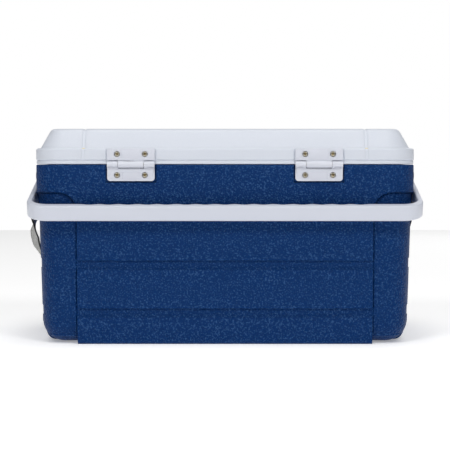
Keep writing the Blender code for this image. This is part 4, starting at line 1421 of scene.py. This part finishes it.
def run_tree(carrier: bpy.types.Object, tree: bpy.types.NodeTree, values: dict) -> bpy.types.Object:
    """Run a tree on an object and keep the result as its plain mesh.

    Args:
        carrier: The object whose mesh feeds the tree.
        tree: The tree.
        values: Input names and values.

    Returns:
        The same object with the result.
    """
    step = carrier.modifiers.new(tree.name, "NODES")
    step.node_group = tree
    sockets = {item.name: item.identifier for item in tree.interface.items_tree if item.in_out == "INPUT"}
    for name, value in values.items():
        step[sockets[name]] = value
    graph = bpy.context.evaluated_depsgraph_get()
    mesh = bpy.data.meshes.new_from_object(carrier.evaluated_get(graph), depsgraph=graph)
    carrier.modifiers.clear()
    old = carrier.data
    carrier.data = mesh
    bpy.data.meshes.remove(old)
    return carrier


def scatter_tree(name: str, paint: Paint, special: bpy.types.Material | None = None) -> bpy.types.NodeTree:
    """A tree that sets a template on every point, turned to the point's facing.

    Args:
        name: The tree's name.
        paint: Finish of the instances.
        special: Material of faces whose attribute special is true.

    Returns:
        The tree, with inputs Template and Size.
    """
    tree, inputs = new_tree(name, {"Template": "NodeSocketObject", "Size": "NodeSocketFloat"})
    points = add_node(tree, "GeometryNodeMeshToPoints", links={"Mesh": inputs.outputs["Geometry"]})
    template = add_node(tree, "GeometryNodeObjectInfo", links={"Object": inputs.outputs["Template"]})
    vector = {"data_type": "FLOAT_VECTOR"}
    facing = add_node(tree, "GeometryNodeInputNamedAttribute", vector, {"Name": "facing"})
    along = add_node(tree, "GeometryNodeInputNamedAttribute", vector, {"Name": "along"})
    turn = add_node(
        tree,
        "FunctionNodeAlignRotationToVector",
        {"axis": "Z"},
        links={"Vector": facing.outputs["Attribute"]},
    )
    turn = add_node(
        tree,
        "FunctionNodeAlignRotationToVector",
        {"axis": "X", "pivot_axis": "Z"},
        links={"Rotation": turn.outputs["Rotation"], "Vector": along.outputs["Attribute"]},
    )
    placed = add_node(
        tree,
        "GeometryNodeInstanceOnPoints",
        links={
            "Points": points.outputs["Points"],
            "Instance": template.outputs["Geometry"],
            "Rotation": turn.outputs["Rotation"],
            "Scale": inputs.outputs["Size"],
        },
    )
    real = add_node(tree, "GeometryNodeRealizeInstances", links={"Geometry": placed.outputs["Instances"]})
    painted = add_node(
        tree,
        "GeometryNodeSetMaterial",
        values={"Material": paint.material},
        links={"Geometry": real.outputs["Geometry"]},
    )
    if special is not None:
        chosen = add_node(
            tree, "GeometryNodeInputNamedAttribute", {"data_type": "BOOLEAN"}, {"Name": "special"}
        )
        painted = add_node(
            tree,
            "GeometryNodeSetMaterial",
            values={"Material": special},
            links={"Geometry": painted.outputs["Geometry"], "Selection": chosen.outputs["Attribute"]},
        )
    add_node(tree, "NodeGroupOutput", links={"Geometry": painted.outputs["Geometry"]})
    return tree


def point_cloud(
    name: str,
    places: Sequence[Sequence[float]],
    facing: Sequence[Sequence[float]],
    along: Sequence[Sequence[float]],
) -> bpy.types.Object:
    """A mesh of loose points that carry their own directions."""
    mesh = bpy.data.meshes.new(name)
    mesh.from_pydata([tuple(place) for place in places], [], [])
    for label, values in (("facing", facing), ("along", along)):
        held = mesh.attributes.new(label, "FLOAT_VECTOR", "POINT")
        held.data.foreach_set("vector", np.array([tuple(v) for v in values], dtype=float).ravel())
    return object_of(name, mesh)


@dataclass
class Screws:
    """Pan head screws with cross recesses, in their counterbores."""

    head: float = 3.6 * MM
    head_height: float = 1.6 * MM
    shank: float = 1.6 * MM
    length: float = 9.5 * MM

    def template(self) -> bpy.types.Object:
        """One screw, its head's underside at height 0 and its axis along Z."""
        tall = self.head_height
        profile = [(0.0, tall)]
        dome = ((0.35, 0.02), (0.6, 0.08), (0.8, 0.22), (0.93, 0.45), (1, 0.75))
        profile += [(self.head * r, tall - self.head_height * d) for r, d in dome]
        profile += [(self.head, 0.0), (self.shank, 0.0)]
        profile += [(self.shank, -self.length + 2 * MM), (0.0, -self.length)]
        screw = lathe("screw", profile, (0, 0, 0), (0, 0, 1), 32, Paint.STEEL)
        inner = bpy.data.materials.new("recess marker")
        for turn in (0, 90):
            wing = prism(
                f"recess_{turn}",
                [(-1.9 * MM, tall + MM), (-1.9 * MM, tall - 0.4 * MM), (-0.8 * MM, tall - 1.3 * MM)]
                + [(0.8 * MM, tall - 1.3 * MM), (1.9 * MM, tall - 0.4 * MM), (1.9 * MM, tall + MM)],
                -0.5 * MM,
                0.5 * MM,
                Matrix.Rotation(math.radians(turn), 4, "Z"),
            )
            wing.data.materials.append(inner)
            boolean(screw, wing)
        finished(screw, 40)
        recess = screw.data.attributes.new("special", "BOOLEAN", "FACE")
        flags = [
            math.hypot(f.center.x, f.center.y) < 2.2 * MM and f.normal.z < 0.85 and f.center.z > 0.2 * MM
            or (math.hypot(f.center.x, f.center.y) < 2.0 * MM and 0 < f.center.z < tall - 0.3 * MM)
            for f in screw.data.polygons
        ]
        recess.data.foreach_set("value", flags)
        return screw

    def build(self) -> None:
        """One mesh of screws for each body."""
        template = self.template()
        yellow = PlatedSteel(
            "yellow passivated recess", "#A8925A", 0.42, metallic=1.0, tint="#6E5A34"
        ).make()
        tree = scatter_tree("Screws in their seats", Paint.STEEL, yellow)
        nodes = [name for name in FRAME["nodes"] if "_screw_" in name]
        for body in ("chest", "lid"):
            own = [n for n in nodes if ("_lid_" in n or "_base_" in n) == (body == "lid")]
            places, facing, along = [], [], []
            for index, node in enumerate(sorted(own)):
                low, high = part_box(node)
                out = 1 if low[1] > 0 else -1
                outer = high[1] if out > 0 else low[1]
                under = outer - out * self.head_height
                places.append(((low[0] + high[0]) / 2, under, (low[2] + high[2]) / 2))
                facing.append((0, out, 0))
                lean = 0.4 + 1.1 * index
                along.append((math.cos(lean), 0, math.sin(lean)))
            cloud = point_cloud(f"{body}_screws", places, facing, along)
            run_tree(cloud, tree, {"Template": template, "Size": 1.0})
            smooth(cloud, 40)
            keep(cloud, body, Paint.STEEL, *own)
        bpy.data.objects.remove(template, do_unlink=True)


@dataclass
class Latch:
    """The front latch: a base on the lid, a lever on its pin and a keeper on the body."""

    thick: float = 3.2 * MM
    lever_half: float = 15 * MM
    lever_thick: float = 3.6 * MM
    barrel: float = 3 * MM
    pin: float = 1.4 * MM
    drop: float = 38 * MM
    counterbore: float = 4.1 * MM
    counterbore_depth: float = 1.8 * MM

    def build(self, axis: Sequence[float], rim: float) -> None:
        """Base, keeper, lever and pin.

        Args:
            axis: The lever's joint.
            rim: Height of the parting line.
        """
        low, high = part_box("latch_keeper")
        half, back = high[0], high[1]
        face = back - self.thick
        y, z = axis[1], axis[2]
        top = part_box("latch_base")[1][2]
        keeper_low = low[2]

        outline = rounded_outline((-half, rim + 3 * MM), (half, top), (0, 0, 3 * MM, 3 * MM), 6)
        base = prism("latch_base_plate", outline, face, back, paint=Paint.HINGE)
        for sign in (1, -1):
            beside = self.lever_half + 0.4 * MM
            inner, outer = sorted((sign * beside, sign * (beside + 3 * MM)))
            web = box(f"web_{sign}", (inner, y, z - self.barrel), (outer, back - MM, z + self.barrel))
            boolean(base, web, "UNION")
            boolean(base, rod(f"ear_{sign}", (inner, y, z), (outer, y, z), self.barrel, 36), "UNION")
        self.seats(base, "latch_base_screw", face)
        boolean(base, rod("base_bore", (-half, y, z), (half, y, z), self.pin + 0.3 * MM, 28))
        bevel(base, 0.35 * MM, 2, 38)
        keep(finished(base), "lid", Paint.HINGE, "latch_base")

        outline = rounded_outline((-half, keeper_low), (half, rim - 2 * MM), (4 * MM, 4 * MM, 0, 0), 8)
        keeper = prism("latch_keeper_plate", outline, face, back, paint=Paint.HINGE)
        ridge_z = rim - 10.5 * MM
        ridge = prism(
            "ridge",
            [(-11 * MM, ridge_z - 1.5 * MM), (11 * MM, ridge_z - 1.5 * MM), (11 * MM, ridge_z + 3.5 * MM)]
            + [(-11 * MM, ridge_z + 3.5 * MM)],
            face - 1.6 * MM,
            face + MM,
        )
        boolean(keeper, ridge, "UNION")
        self.seats(keeper, "latch_keeper_screw", face)
        bevel(keeper, 0.35 * MM, 2, 38)
        keep(finished(keeper), "chest", Paint.HINGE, "latch_keeper")

        lever_back = y + MM
        lever_face = lever_back - self.lever_thick
        outline = rounded_outline(
            (-self.lever_half, z - self.drop), (self.lever_half, z), (4 * MM, 4 * MM, 0, 0), 8
        )
        lever = prism("latch_lever_arm", outline, lever_face, lever_back, paint=Paint.HINGE)
        left, right = (-self.lever_half, y, z), (self.lever_half, y, z)
        boolean(lever, rod("lever_barrel", left, right, self.barrel, 36), "UNION")
        bump = box(
            "bump",
            (-10 * MM, lever_back - MM, rim - 15.5 * MM),
            (10 * MM, face - 1.9 * MM, rim - 12.7 * MM),
        )
        boolean(lever, bump, "UNION")
        for index in range(4):
            rib = z - self.drop + (4.2 + 2.6 * index) * MM
            groove = box(
                f"grip_{index}",
                (-10 * MM, lever_face - MM, rib),
                (10 * MM, lever_face + 0.6 * MM, rib + 1.2 * MM),
            )
            boolean(lever, groove)
        boolean(lever, rod("lever_bore", (-half, y, z), (half, y, z), self.pin + 0.3 * MM, 28))
        bevel(lever, 0.4 * MM, 2, 38)
        keep(finished(lever), "latch", Paint.HINGE, "latch_lever")

        reach = self.lever_half + 3 * MM
        pin = rod("latch_lever_pin", (-reach, y, z), (reach, y, z), self.pin, 28, Paint.STEEL)
        bevel(pin, 0.25 * MM, 2)
        keep(finished(pin), "lid", Paint.STEEL, "latch_pin")

    def seats(self, plate: bpy.types.Object, screw: str, face: float) -> None:
        """Counterbore and shank hole for a plate's two screws."""
        for letter in "ab":
            low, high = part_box(f"{screw}_{letter}")
            x, z = (low[0] + high[0]) / 2, (low[2] + high[2]) / 2
            seat = (self.counterbore, self.counterbore_depth, 36)
            for radius, depth, steps in (seat, (1.9 * MM, 8 * MM, 20)):
                start, end = (x, face + depth, z), (x, face - 8 * MM, z)
                tool = rod(f"{screw}_{letter}_{steps}", start, end, radius, steps)
                boolean(plate, tool)


@dataclass
class Bail:
    """The swing-over handle in one moulding: two arms, hubs and a scalloped bar."""

    arm_gap: float = 1.6 * MM
    arm_thick: float = 6.6 * MM
    arm_wide: float = 20.2 * MM
    bar_inner: float = 163 * MM
    bar_thick: float = 12.5 * MM
    corner: float = 29 * MM
    hub: float = 14.5 * MM
    hub_proud: float = 0.4 * MM
    bore: float = 6.3 * MM
    rest: float = math.radians(16.1)
    scallops: int = 15
    pitch: float = 25 * MM
    depth: float = 2.4 * MM
    edge: float = 2.2 * MM

    def outline(self, half_x: float) -> Points:
        """The bail in its own plane, (sideways, outwards), its inner side scalloped."""
        inner_x, outer_x = half_x + self.arm_gap, half_x + self.arm_gap + self.arm_thick
        outer = self.bar_inner + self.bar_thick
        inside = self.corner - self.arm_thick
        right = [(outer_x, 0.0), (outer_x, outer * 0.45)]
        right += arc((outer_x - self.corner, outer - self.corner), self.corner, 0, 90, 20)
        points = right + [(-x, y) for x, y in reversed(right)]
        round_in = arc((inner_x - inside, self.bar_inner - inside), inside, 0, 90, 16)
        points += [(-inner_x, 0.0), (-inner_x, outer * 0.45)] + [(-x, y) for x, y in round_in]
        span, waves = self.scallops * self.pitch, 14
        for i in range(self.scallops * waves + 1):
            wave = (1 - math.cos(2 * math.pi * i / waves)) / 2
            sideways = -span / 2 + span * i / (self.scallops * waves)
            points.append((sideways, self.bar_inner + self.depth * wave))
        return points + list(reversed(round_in)) + [(inner_x, outer * 0.45), (inner_x, 0.0)]

    def build(self, form: ChestForm, axis: Sequence[float]) -> None:
        """Build the moulding about its joint.

        Args:
            form: The chest's sizes.
            axis: The bail's joint.
        """
        turn = Matrix.Translation(axis) @ Matrix.Rotation(-self.rest - math.pi / 2, 4, "X")
        half = self.arm_wide / 2
        bail = prism("bail", self.outline(form.half_x), -half, half, turn, Paint.HANDLE)
        bevel(bail, self.edge, 5, 50)
        inner = form.half_x + self.arm_gap - self.hub_proud
        outer = form.half_x + self.arm_gap + self.arm_thick + self.hub_proud
        for sign in (1, -1):
            y, z = axis[1], axis[2]
            hub = rod(f"hub_{sign}", (sign * inner, y, z), (sign * outer, y, z), self.hub, 72)
            bevel(hub, 1.2 * MM, 4)
            boolean(bail, hub, "UNION")
            inside, outside = sign * (form.half_x - 10 * MM), sign * (form.half_x + 20 * MM)
            boolean(bail, rod(f"bore_{sign}", (inside, y, z), (outside, y, z), self.bore, 40))
        keep(finished(bail, 40), "bail", Paint.HANDLE, "bail_handle")


def leaning(sign: int, height: float) -> Matrix:
    """The turn about the pivot that the left tab and strap end have, none on the right.

    Args:
        sign: The side, 1 or -1.
        height: Height of the pivot.

    Returns:
        The turn.
    """
    angle = 0.0 if sign > 0 else math.radians(-24.0)
    pivot = Matrix.Translation((0, 0, height))
    return pivot @ Matrix.Rotation(angle, 4, "X") @ pivot.inverted()


@dataclass
class Pivots:
    """On each side: the bolt that the bail turns on, and the tab that the strap hangs from."""

    half_x: float = 250 * MM
    collar: float = 6 * MM
    head: float = 10.5 * MM
    shank: float = 3.5 * MM
    eye: float = 11.5 * MM
    drop: float = 30 * MM
    half_width: float = 16.5 * MM
    slot: tuple[float, float] = (13.5 * MM, 2.8 * MM)

    def build(self, axis: Sequence[float]) -> None:
        """Bolts and tabs on both sides.

        Args:
            axis: The bail's joint.
        """
        for side, sign in (("left", -1), ("right", 1)):
            self.build_bolt(side, sign, axis)
            self.build_tab(side, sign, axis)

    def build_bolt(self, side: str, sign: int, axis: Sequence[float]) -> None:
        """A round headed moulded bolt with a coin slot in a shallow dish."""
        low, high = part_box(f"pivot_bolt_{side}")
        tab_low, tab_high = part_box(f"strap_anchor_{side}")
        outer = max(abs(low[0]), abs(high[0]))
        inner = min(abs(low[0]), abs(high[0]))
        under = max(abs(tab_low[0]), abs(tab_high[0])) + 0.3 * MM
        wall = self.half_x + 0.3 * MM
        profile = [(0.0, outer - 0.9 * MM), (5.2 * MM, outer - 0.9 * MM), (6.3 * MM, outer - 0.1 * MM)]
        profile += [(7.2 * MM, outer), (9.0 * MM, outer - 0.4 * MM), (10.1 * MM, outer - 1.2 * MM)]
        profile += [(self.head, outer - 2.0 * MM), (self.head, under + 0.3 * MM)]
        profile += [(self.head - 0.3 * MM, under), (self.collar, under), (self.collar, wall)]
        profile += [(self.shank, wall), (self.shank, inner + 2 * MM), (self.shank - MM, inner), (0.0, inner)]
        bolt = lathe(f"{side}_pivot_bolt", profile, (0, axis[1], axis[2]), (sign, 0, 0), 72, Paint.BOLT)
        near, far = sorted((sign * (outer - 1.9 * MM), sign * (outer + 4 * MM)))
        long, wide = 4.6 * MM, 0.8 * MM
        low, high = (near, axis[1] - long, axis[2] - wide), (far, axis[1] + long, axis[2] + wide)
        slot = box("coin_slot", low, high)
        boolean(bolt, slot)
        keep(finished(bolt, 40), "chest", Paint.BOLT, f"pivot_bolt_{side}")

    def build_tab(self, side: str, sign: int, axis: Sequence[float]) -> None:
        """The strap's tab: an eye for the bolt above a slotted foot."""
        low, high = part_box(f"strap_anchor_{side}")
        near, far = sorted((abs(low[0]), abs(high[0])))
        outline = arc((0, 0), self.eye, 0, 180, 26)
        outline += [(-self.eye, -4 * MM), (-self.eye - 1.2 * MM, -9.5 * MM), (-self.half_width, -16 * MM)]
        corner = 3 * MM
        outline += arc((-self.half_width + corner, -self.drop + corner), corner, 180, 270, 7)
        outline += arc((self.half_width - corner, -self.drop + corner), corner, 270, 360, 7)
        outline += [(self.half_width, -16 * MM), (self.eye + 1.2 * MM, -9.5 * MM), (self.eye, -4 * MM)]
        lean = leaning(sign, axis[2])
        facing = Matrix.Rotation(-sign * math.pi / 2, 4, "Z")
        turn = lean @ Matrix.Translation((0, axis[1], axis[2])) @ facing
        tab = prism(f"{side}_strap_tab", outline, near, far, turn, Paint.ACETAL)
        wide, tall = self.slot
        middle = -self.drop + 3.5 * MM + tall
        hole = rounded_outline((-wide, middle - tall), (wide, middle + tall), (1.2 * MM,) * 4, 5)
        boolean(tab, prism("slot", hole, near - 9 * MM, far + 9 * MM, turn))
        inside = (sign * (near - 9 * MM), axis[1], axis[2])
        outside = (sign * (far + 9 * MM), axis[1], axis[2])
        eye = rod("eye", inside, outside, self.collar + 0.3 * MM, 44)
        boolean(tab, eye)
        bevel(tab, 0.45 * MM, 3, 38)
        keep(finished(tab), "chest", Paint.ACETAL, f"strap_anchor_{side}")


def smooth_line(route: Sequence[Vector], steps: int) -> list[Vector]:
    """Points of a Catmull-Rom curve through a route.

    Args:
        route: The points that it passes through.
        steps: Points for each stretch.

    Returns:
        The curve's points.
    """
    padded = [route[0] * 2 - route[1], *route, route[-1] * 2 - route[-2]]
    points = []
    for a, b, c, d in zip(padded, padded[1:], padded[2:], padded[3:]):
        for step in range(steps):
            t = step / steps
            bend = (2 * a - 5 * b + 4 * c - d) * t**2 + (3 * b - a - 3 * c + d) * t**3
            points.append(0.5 * (2 * b + (c - a) * t + bend))
    return points + [route[-1]]


def measured(line: Sequence[Vector]) -> list[float]:
    """Length along a line at each of its points."""
    along = [0.0]
    for one, two in zip(line, line[1:]):
        along.append(along[-1] + (two - one).length)
    return along


@dataclass
class Strap:
    """The webbing strap: a flat band hung from both tabs, its ends sewn round their bars."""

    width: float = 25 * MM
    thick: float = 2.2 * MM
    length: float = 0.915
    route: tuple[tuple[float, float, float], ...] = (
        (0.2652, -0.0002, 0.1690),
        (0.2674, -0.0006, 0.1570),
        (0.2692, -0.0055, 0.1430),
        (0.2690, -0.0160, 0.1260),
        (0.2645, -0.0290, 0.1090),
        (0.2585, -0.0500, 0.0920),
        (0.2560, -0.0780, 0.0750),
        (0.2555, -0.1080, 0.0590),
        (0.2490, -0.1420, 0.0440),
        (0.2300, -0.1660, 0.0330),
        (0.2000, -0.1790, 0.0235),
        (0.1500, -0.1850, 0.0155),
        (0.1000, -0.1880, 0.0133),
        (0.0500, -0.1900, 0.0130),
    )
    left_route: tuple[tuple[float, float, float], ...] = (
        (-0.2652, -0.0209, 0.1735),
        (-0.2648, -0.0261, 0.1618),
        (-0.2622, -0.0350, 0.1470),
        (-0.2605, -0.0470, 0.1300),
        (-0.2590, -0.0630, 0.1130),
        (-0.2580, -0.0810, 0.0960),
        (-0.2555, -0.1040, 0.0760),
        (-0.2490, -0.1340, 0.0540),
        (-0.2320, -0.1610, 0.0370),
        (-0.2010, -0.1775, 0.0245),
        (-0.1500, -0.1850, 0.0155),
        (-0.1000, -0.1880, 0.0133),
        (-0.0500, -0.1900, 0.0130),
    )
    middle: tuple[float, float, float] = (0.0, -0.1905, 0.0130)
    roll: tuple[tuple[float, float], ...] = (
        (0.0, 0.0),
        (0.008, -26.0),
        (0.016, 0.0),
        (0.034, 34.0),
        (0.060, 38.0),
        (0.110, 12.0),
        (0.180, 0.0),
    )
    adjuster_x: float = 174 * MM
    pivot: float = 220 * MM
    adjuster: tuple[float, float, float] = (21 * MM, 6.6 * MM, 32 * MM)

    def centre(self, steps: int = 12) -> list[Vector]:
        """The band's centreline, from the right tab round the front to the left one."""
        places = [*self.route, self.middle, *reversed(self.left_route)]
        return smooth_line([Vector(place) for place in places], steps)

    def outward(self, point: Vector, form: ChestForm) -> Vector:
        """The level direction away from the chest at a place beside it."""
        away_x = math.copysign(max(abs(point.x) - (form.half_x - form.corner), 0), point.x)
        away_y = math.copysign(max(abs(point.y) - (form.half_y - form.corner), 0), point.y)
        return Vector((away_x, away_y, 0)).normalized()

    def across(self, line: list[Vector], form: ChestForm, rolled: bool = True) -> list[Vector]:
        """The direction of the band's width at each point of its centreline."""
        spans = measured(line)
        places = [place for place, _ in self.roll]
        rolls = [math.radians(angle) for _, angle in self.roll]
        widths = []
        for i, point in enumerate(line):
            along = (line[min(i + 1, len(line) - 1)] - line[max(i - 1, 0)]).normalized()
            across = along.cross(self.outward(point, form)).normalized()
            out = across.cross(along)
            angle = float(np.interp(spans[i], places, rolls)) if rolled else 0.0
            widths.append(across * math.cos(angle) + out * math.sin(angle))
        return widths

    def band(self, name: str, line: list[Vector], widths: list[Vector]) -> bpy.types.Object:
        """A band of webbing with rounded edges and its own UV map.

        Args:
            name: The object's name.
            line: Its centreline.
            widths: The direction of its width at each point.

        Returns:
            The band.
        """
        half, deep = self.width / 2, self.thick / 2
        columns = 9
        face = [(-half + deep + (2 * half - 2 * deep) * i / (columns - 1), deep) for i in range(columns)]
        section = face + [(half - deep * (1 - math.cos(t)), deep * math.sin(t)) for t in (0.8, 0, -0.8)]
        section += [(x, -y) for x, y in reversed(face)]
        section += [(-half + deep * (1 - math.cos(t)), deep * math.sin(t)) for t in (-0.8, 0, 0.8)]
        spans = measured(line)
        shape = bmesh.new()
        uv = shape.loops.layers.uv.new("Weave")
        rings = []
        for i, point in enumerate(line):
            along = (line[min(i + 1, len(line) - 1)] - line[max(i - 1, 0)]).normalized()
            out = widths[i].cross(along).normalized()
            rings.append([shape.verts.new(point + widths[i] * x + out * y) for x, y in section])
        count = len(section)
        for i in range(len(rings) - 1):
            for j in range(count):
                k = (j + 1) % count
                made = shape.faces.new((rings[i][j], rings[i][k], rings[i + 1][k], rings[i + 1][j]))
                corners = ((j, i), (k, i), (k, i + 1), (j, i + 1))
                for loop, (column, row) in zip(made.loops, corners):
                    loop[uv].uv = (section[column][0] / self.width + 0.5, spans[row])
        for ring in (rings[0], rings[-1]):
            shape.faces.new(ring)
        band = object_from(name, shape, Paint.WEBBING)
        smooth(band, 50)
        return band

    def end_line(self, sign: int) -> list[Vector]:
        """Centreline of an end: up from the band, round the tab's bar and back down."""
        start = Vector(self.route[0])
        points = [
            (start.x + 0.0000, 0.1692),
            (start.x + 0.0001, 0.1740),
            (0.2649, 0.1800),
            (0.2641, 0.1860),
            (0.2637, 0.1905),
            (0.2635, 0.1930),
            (0.2624, 0.1950),
            (0.2604, 0.1957),
            (0.2584, 0.1950),
            (0.2573, 0.1930),
            (0.2572, 0.1905),
            (0.2582, 0.1868),
            (0.2608, 0.1832),
            (0.2625, 0.1795),
            (0.2629, 0.1750),
            (0.2629, 0.1718),
        ]
        lean = leaning(sign, self.pivot)
        return smooth_line([lean @ Vector((sign * x, start.y, z)) for x, z in points], 4)

    def build(self, form: ChestForm) -> None:
        """Band, ends, stitches and slide adjuster."""
        line = self.centre()
        band = self.band("strap", line, self.across(line, form))
        keep(band, "chest", Paint.WEBBING, "strap_webbing")
        for side, sign in (("right", 1), ("left", -1)):
            end = self.end_line(sign)
            width = leaning(sign, self.pivot).to_3x3() @ Vector((0, -1, 0))
            tail = self.band(f"{side}_strap_loop", end, [width] * len(end))
            keep(tail, "chest", Paint.WEBBING, f"strap_end_{side}")
        self.build_stitches()
        self.build_adjuster(line, form)
        log.info("strap centreline is %.3f m", measured(line)[-1])

    def build_stitches(self) -> bpy.types.Object:
        """Boxed stitches through both plies of each end, on both faces."""
        stitch = lathe(
            "stitch",
            [(x * MM, z * MM) for x, z in ((0, -1.15), (0.26, -0.8), (0.3, 0), (0.26, 0.8), (0, 1.15))],
            (0, 0, 0),
            (1, 0, 0),
            6,
            Paint.THREAD,
        )
        places, facing, along = [], [], []
        for sign in (1, -1):
            lean = leaning(sign, self.pivot)
            turn, upright = lean.to_3x3(), lean.inverted()
            end = [upright @ p for p in self.end_line(sign)]
            outer = [p for p in end[: len(end) // 2] if 0.1705 < p.z < 0.1812]
            low, high = outer[0].z, outer[-1].z
            half = self.width / 2 - 2.6 * MM
            strokes = []
            for y in (-half, half):
                strokes += [((y, z), (0, 1)) for z in np.arange(low + 1.5 * MM, high, 2.9 * MM)]
            for z in (low, high):
                strokes += [((y, z), (1, 0)) for y in np.arange(-half + 1.5 * MM, half, 2.9 * MM)]
            slant = Vector((half * 2, high - low)).normalized()
            for t in np.linspace(0.1, 0.9, 7):
                for flip in (1, -1):
                    y = (-half + 2 * half * t) * flip
                    strokes.append(((y, low + (high - low) * t), (slant.x * flip, slant.y)))
            for (y, z), (dy, dz) in strokes:
                near = min(outer, key=lambda p: abs(p.z - z))
                for out, offset in ((sign, self.thick / 2), (-sign, 1.5 * self.thick)):
                    x = near.x + out * (offset + 0.05 * MM)
                    places.append(tuple(lean @ Vector((x, y + near.y, z))))
                    facing.append((out, 0, 0))
                    along.append(tuple(turn @ Vector((0, dy, dz))))
        cloud = point_cloud("strap_stitches", places, facing, along)
        tree = scatter_tree("Stitches through the strap", Paint.THREAD)
        run_tree(cloud, tree, {"Template": stitch, "Size": 1.0})
        bpy.data.objects.remove(stitch, do_unlink=True)
        smooth(cloud, 60)
        return keep(cloud, "chest", Paint.THREAD)

    def build_adjuster(self, line: list[Vector], form: ChestForm) -> bpy.types.Object:
        """The slide adjuster: a frame with three bars, the strap threaded behind the outer two."""
        index = min(range(len(line) // 2), key=lambda i: abs(line[i].x - self.adjuster_x))
        along = (line[index + 1] - line[index - 1]).normalized()
        across = self.across(line, form, rolled=False)[index]
        turn = Matrix((along, across.cross(along), across)).transposed().to_4x4()
        turn.translation = line[index]
        half = [size / 2 for size in self.adjuster]
        outline = rounded_outline((-half[0], -half[2]), (half[0], half[2]), (3 * MM,) * 4, 6)
        frame = prism("strap_slide", outline, -half[1], half[1], turn, Paint.ACETAL)
        slot_y, slot_z = self.thick / 2 + 0.6 * MM, self.width / 2 + 0.6 * MM
        slot = prism(
            "slide_slot",
            [(-20 * MM, -slot_z), (20 * MM, -slot_z), (20 * MM, slot_z), (-20 * MM, slot_z)],
            -slot_y,
            slot_y,
            turn,
        )
        boolean(frame, slot)
        for sign in (1, -1):
            low, high = sorted((sign * 2.2 * MM, sign * 7.2 * MM))
            window = rounded_outline((low, -slot_z + 0.4 * MM), (high, slot_z - 0.4 * MM), (MM,) * 4, 4)
            boolean(frame, prism(f"slide_window_{sign}", window, 0, 9 * MM, turn))
        bevel(frame, 0.5 * MM, 3, 38)
        return keep(finished(frame), "chest", Paint.ACETAL, "strap_adjuster")


@dataclass
class Studio:
    """White floor, soft lights and the camera."""

    distance: float = 1.75
    back: float = 0.15
    eye: float = 0.228
    lens: float = 107.8
    pitch: float = 2.34
    ambient: float = 0.07
    glow: float = 0.30

    def light(self, name: str, place: Sequence[float], size: float, power: float) -> None:
        """A soft square light that faces the chest."""
        data = bpy.data.lights.new(name, "AREA")
        data.size = size
        data.energy = power
        made = bpy.data.objects.new(name, data)
        made.location = place
        aim = Vector((0, 0, 0.12)) - Vector(place)
        made.rotation_euler = aim.to_track_quat("-Z", "Y").to_euler()
        bpy.context.scene.collection.objects.link(made)

    def build(self) -> None:
        """Make the stage."""
        scene = bpy.context.scene
        scene.view_settings.view_transform = "Standard"
        world = bpy.data.worlds.new("white studio")
        world.use_nodes = True
        back = world.node_tree.nodes["Background"]
        back.inputs["Color"].default_value = linear("#FFFFFF")
        back.inputs["Strength"].default_value = self.ambient
        seen = add_node(world.node_tree, "ShaderNodeBackground", values={"Strength": 1.0})
        seen.inputs["Color"].default_value = linear("#FFFFFF")
        ray = add_node(world.node_tree, "ShaderNodeLightPath").outputs["Is Camera Ray"]
        mixed = add_node(
            world.node_tree,
            "ShaderNodeMixShader",
            links={0: ray, 1: back.outputs[0], 2: seen.outputs[0]},
        )
        output = world.node_tree.nodes["World Output"]
        world.node_tree.links.new(mixed.outputs[0], output.inputs["Surface"])
        scene.world = world
        bpy.ops.mesh.primitive_plane_add(size=6.4, location=(0, 0, 0))
        floor = bpy.context.object
        floor.name = "floor"
        white = Finish("white paper floor", "#FFFFFF", 0.9).make()
        paper = white.node_tree.nodes["Principled BSDF"]
        paper.inputs["Emission Color"].default_value = linear("#FFFFFF")
        paper.inputs["Emission Strength"].default_value = self.glow
        floor.data.materials.append(white)
        self.light("left soft box", (1.4, 2.3, 2.2), 0.9, 27)
        self.light("right soft box", (-1.4, 2.3, 2.2), 0.9, 27)
        self.light("far soft box", (-1.2, -2.6, 1.6), 1.5, 8)
        data = bpy.data.lights.new("overhead sheet", "SUN")
        data.energy = 1.3
        data.angle = math.radians(40)
        sheet = bpy.data.objects.new("overhead sheet", data)
        sheet.rotation_euler = Vector((0, -0.12, -1)).to_track_quat("-Z", "Y").to_euler()
        bpy.context.scene.collection.objects.link(sheet)
        camera = bpy.data.cameras.new("camera")
        camera.lens = self.lens
        camera.sensor_width = 36
        eye = bpy.data.objects.new("camera", camera)
        eye.location = (0, self.back + self.distance, self.eye)
        eye.rotation_euler = (math.radians(90 - self.pitch), 0, math.pi)
        scene.collection.objects.link(eye)
        scene.camera = eye


def main() -> None:
    """Build every piece in order."""
    logging.basicConfig(level=logging.INFO)
    FRAME.update(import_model())
    joints = {joint["name"]: joint["pos_m"] for joint in FRAME["joints"]}
    form = ChestForm()
    Studio().build()
    Strap().build(form)
    Body(form).build()
    Lid(form).build()
    for side in ("left", "right"):
        Hinge(side).build(joints["lid_hinge"])
    Screws().build()
    Latch().build(joints["latch_pivot"], form.rim)
    Bail().build(form, joints["bail_swing"])
    Pivots().build(joints["bail_swing"])


if __name__ == "__main__":
    main()
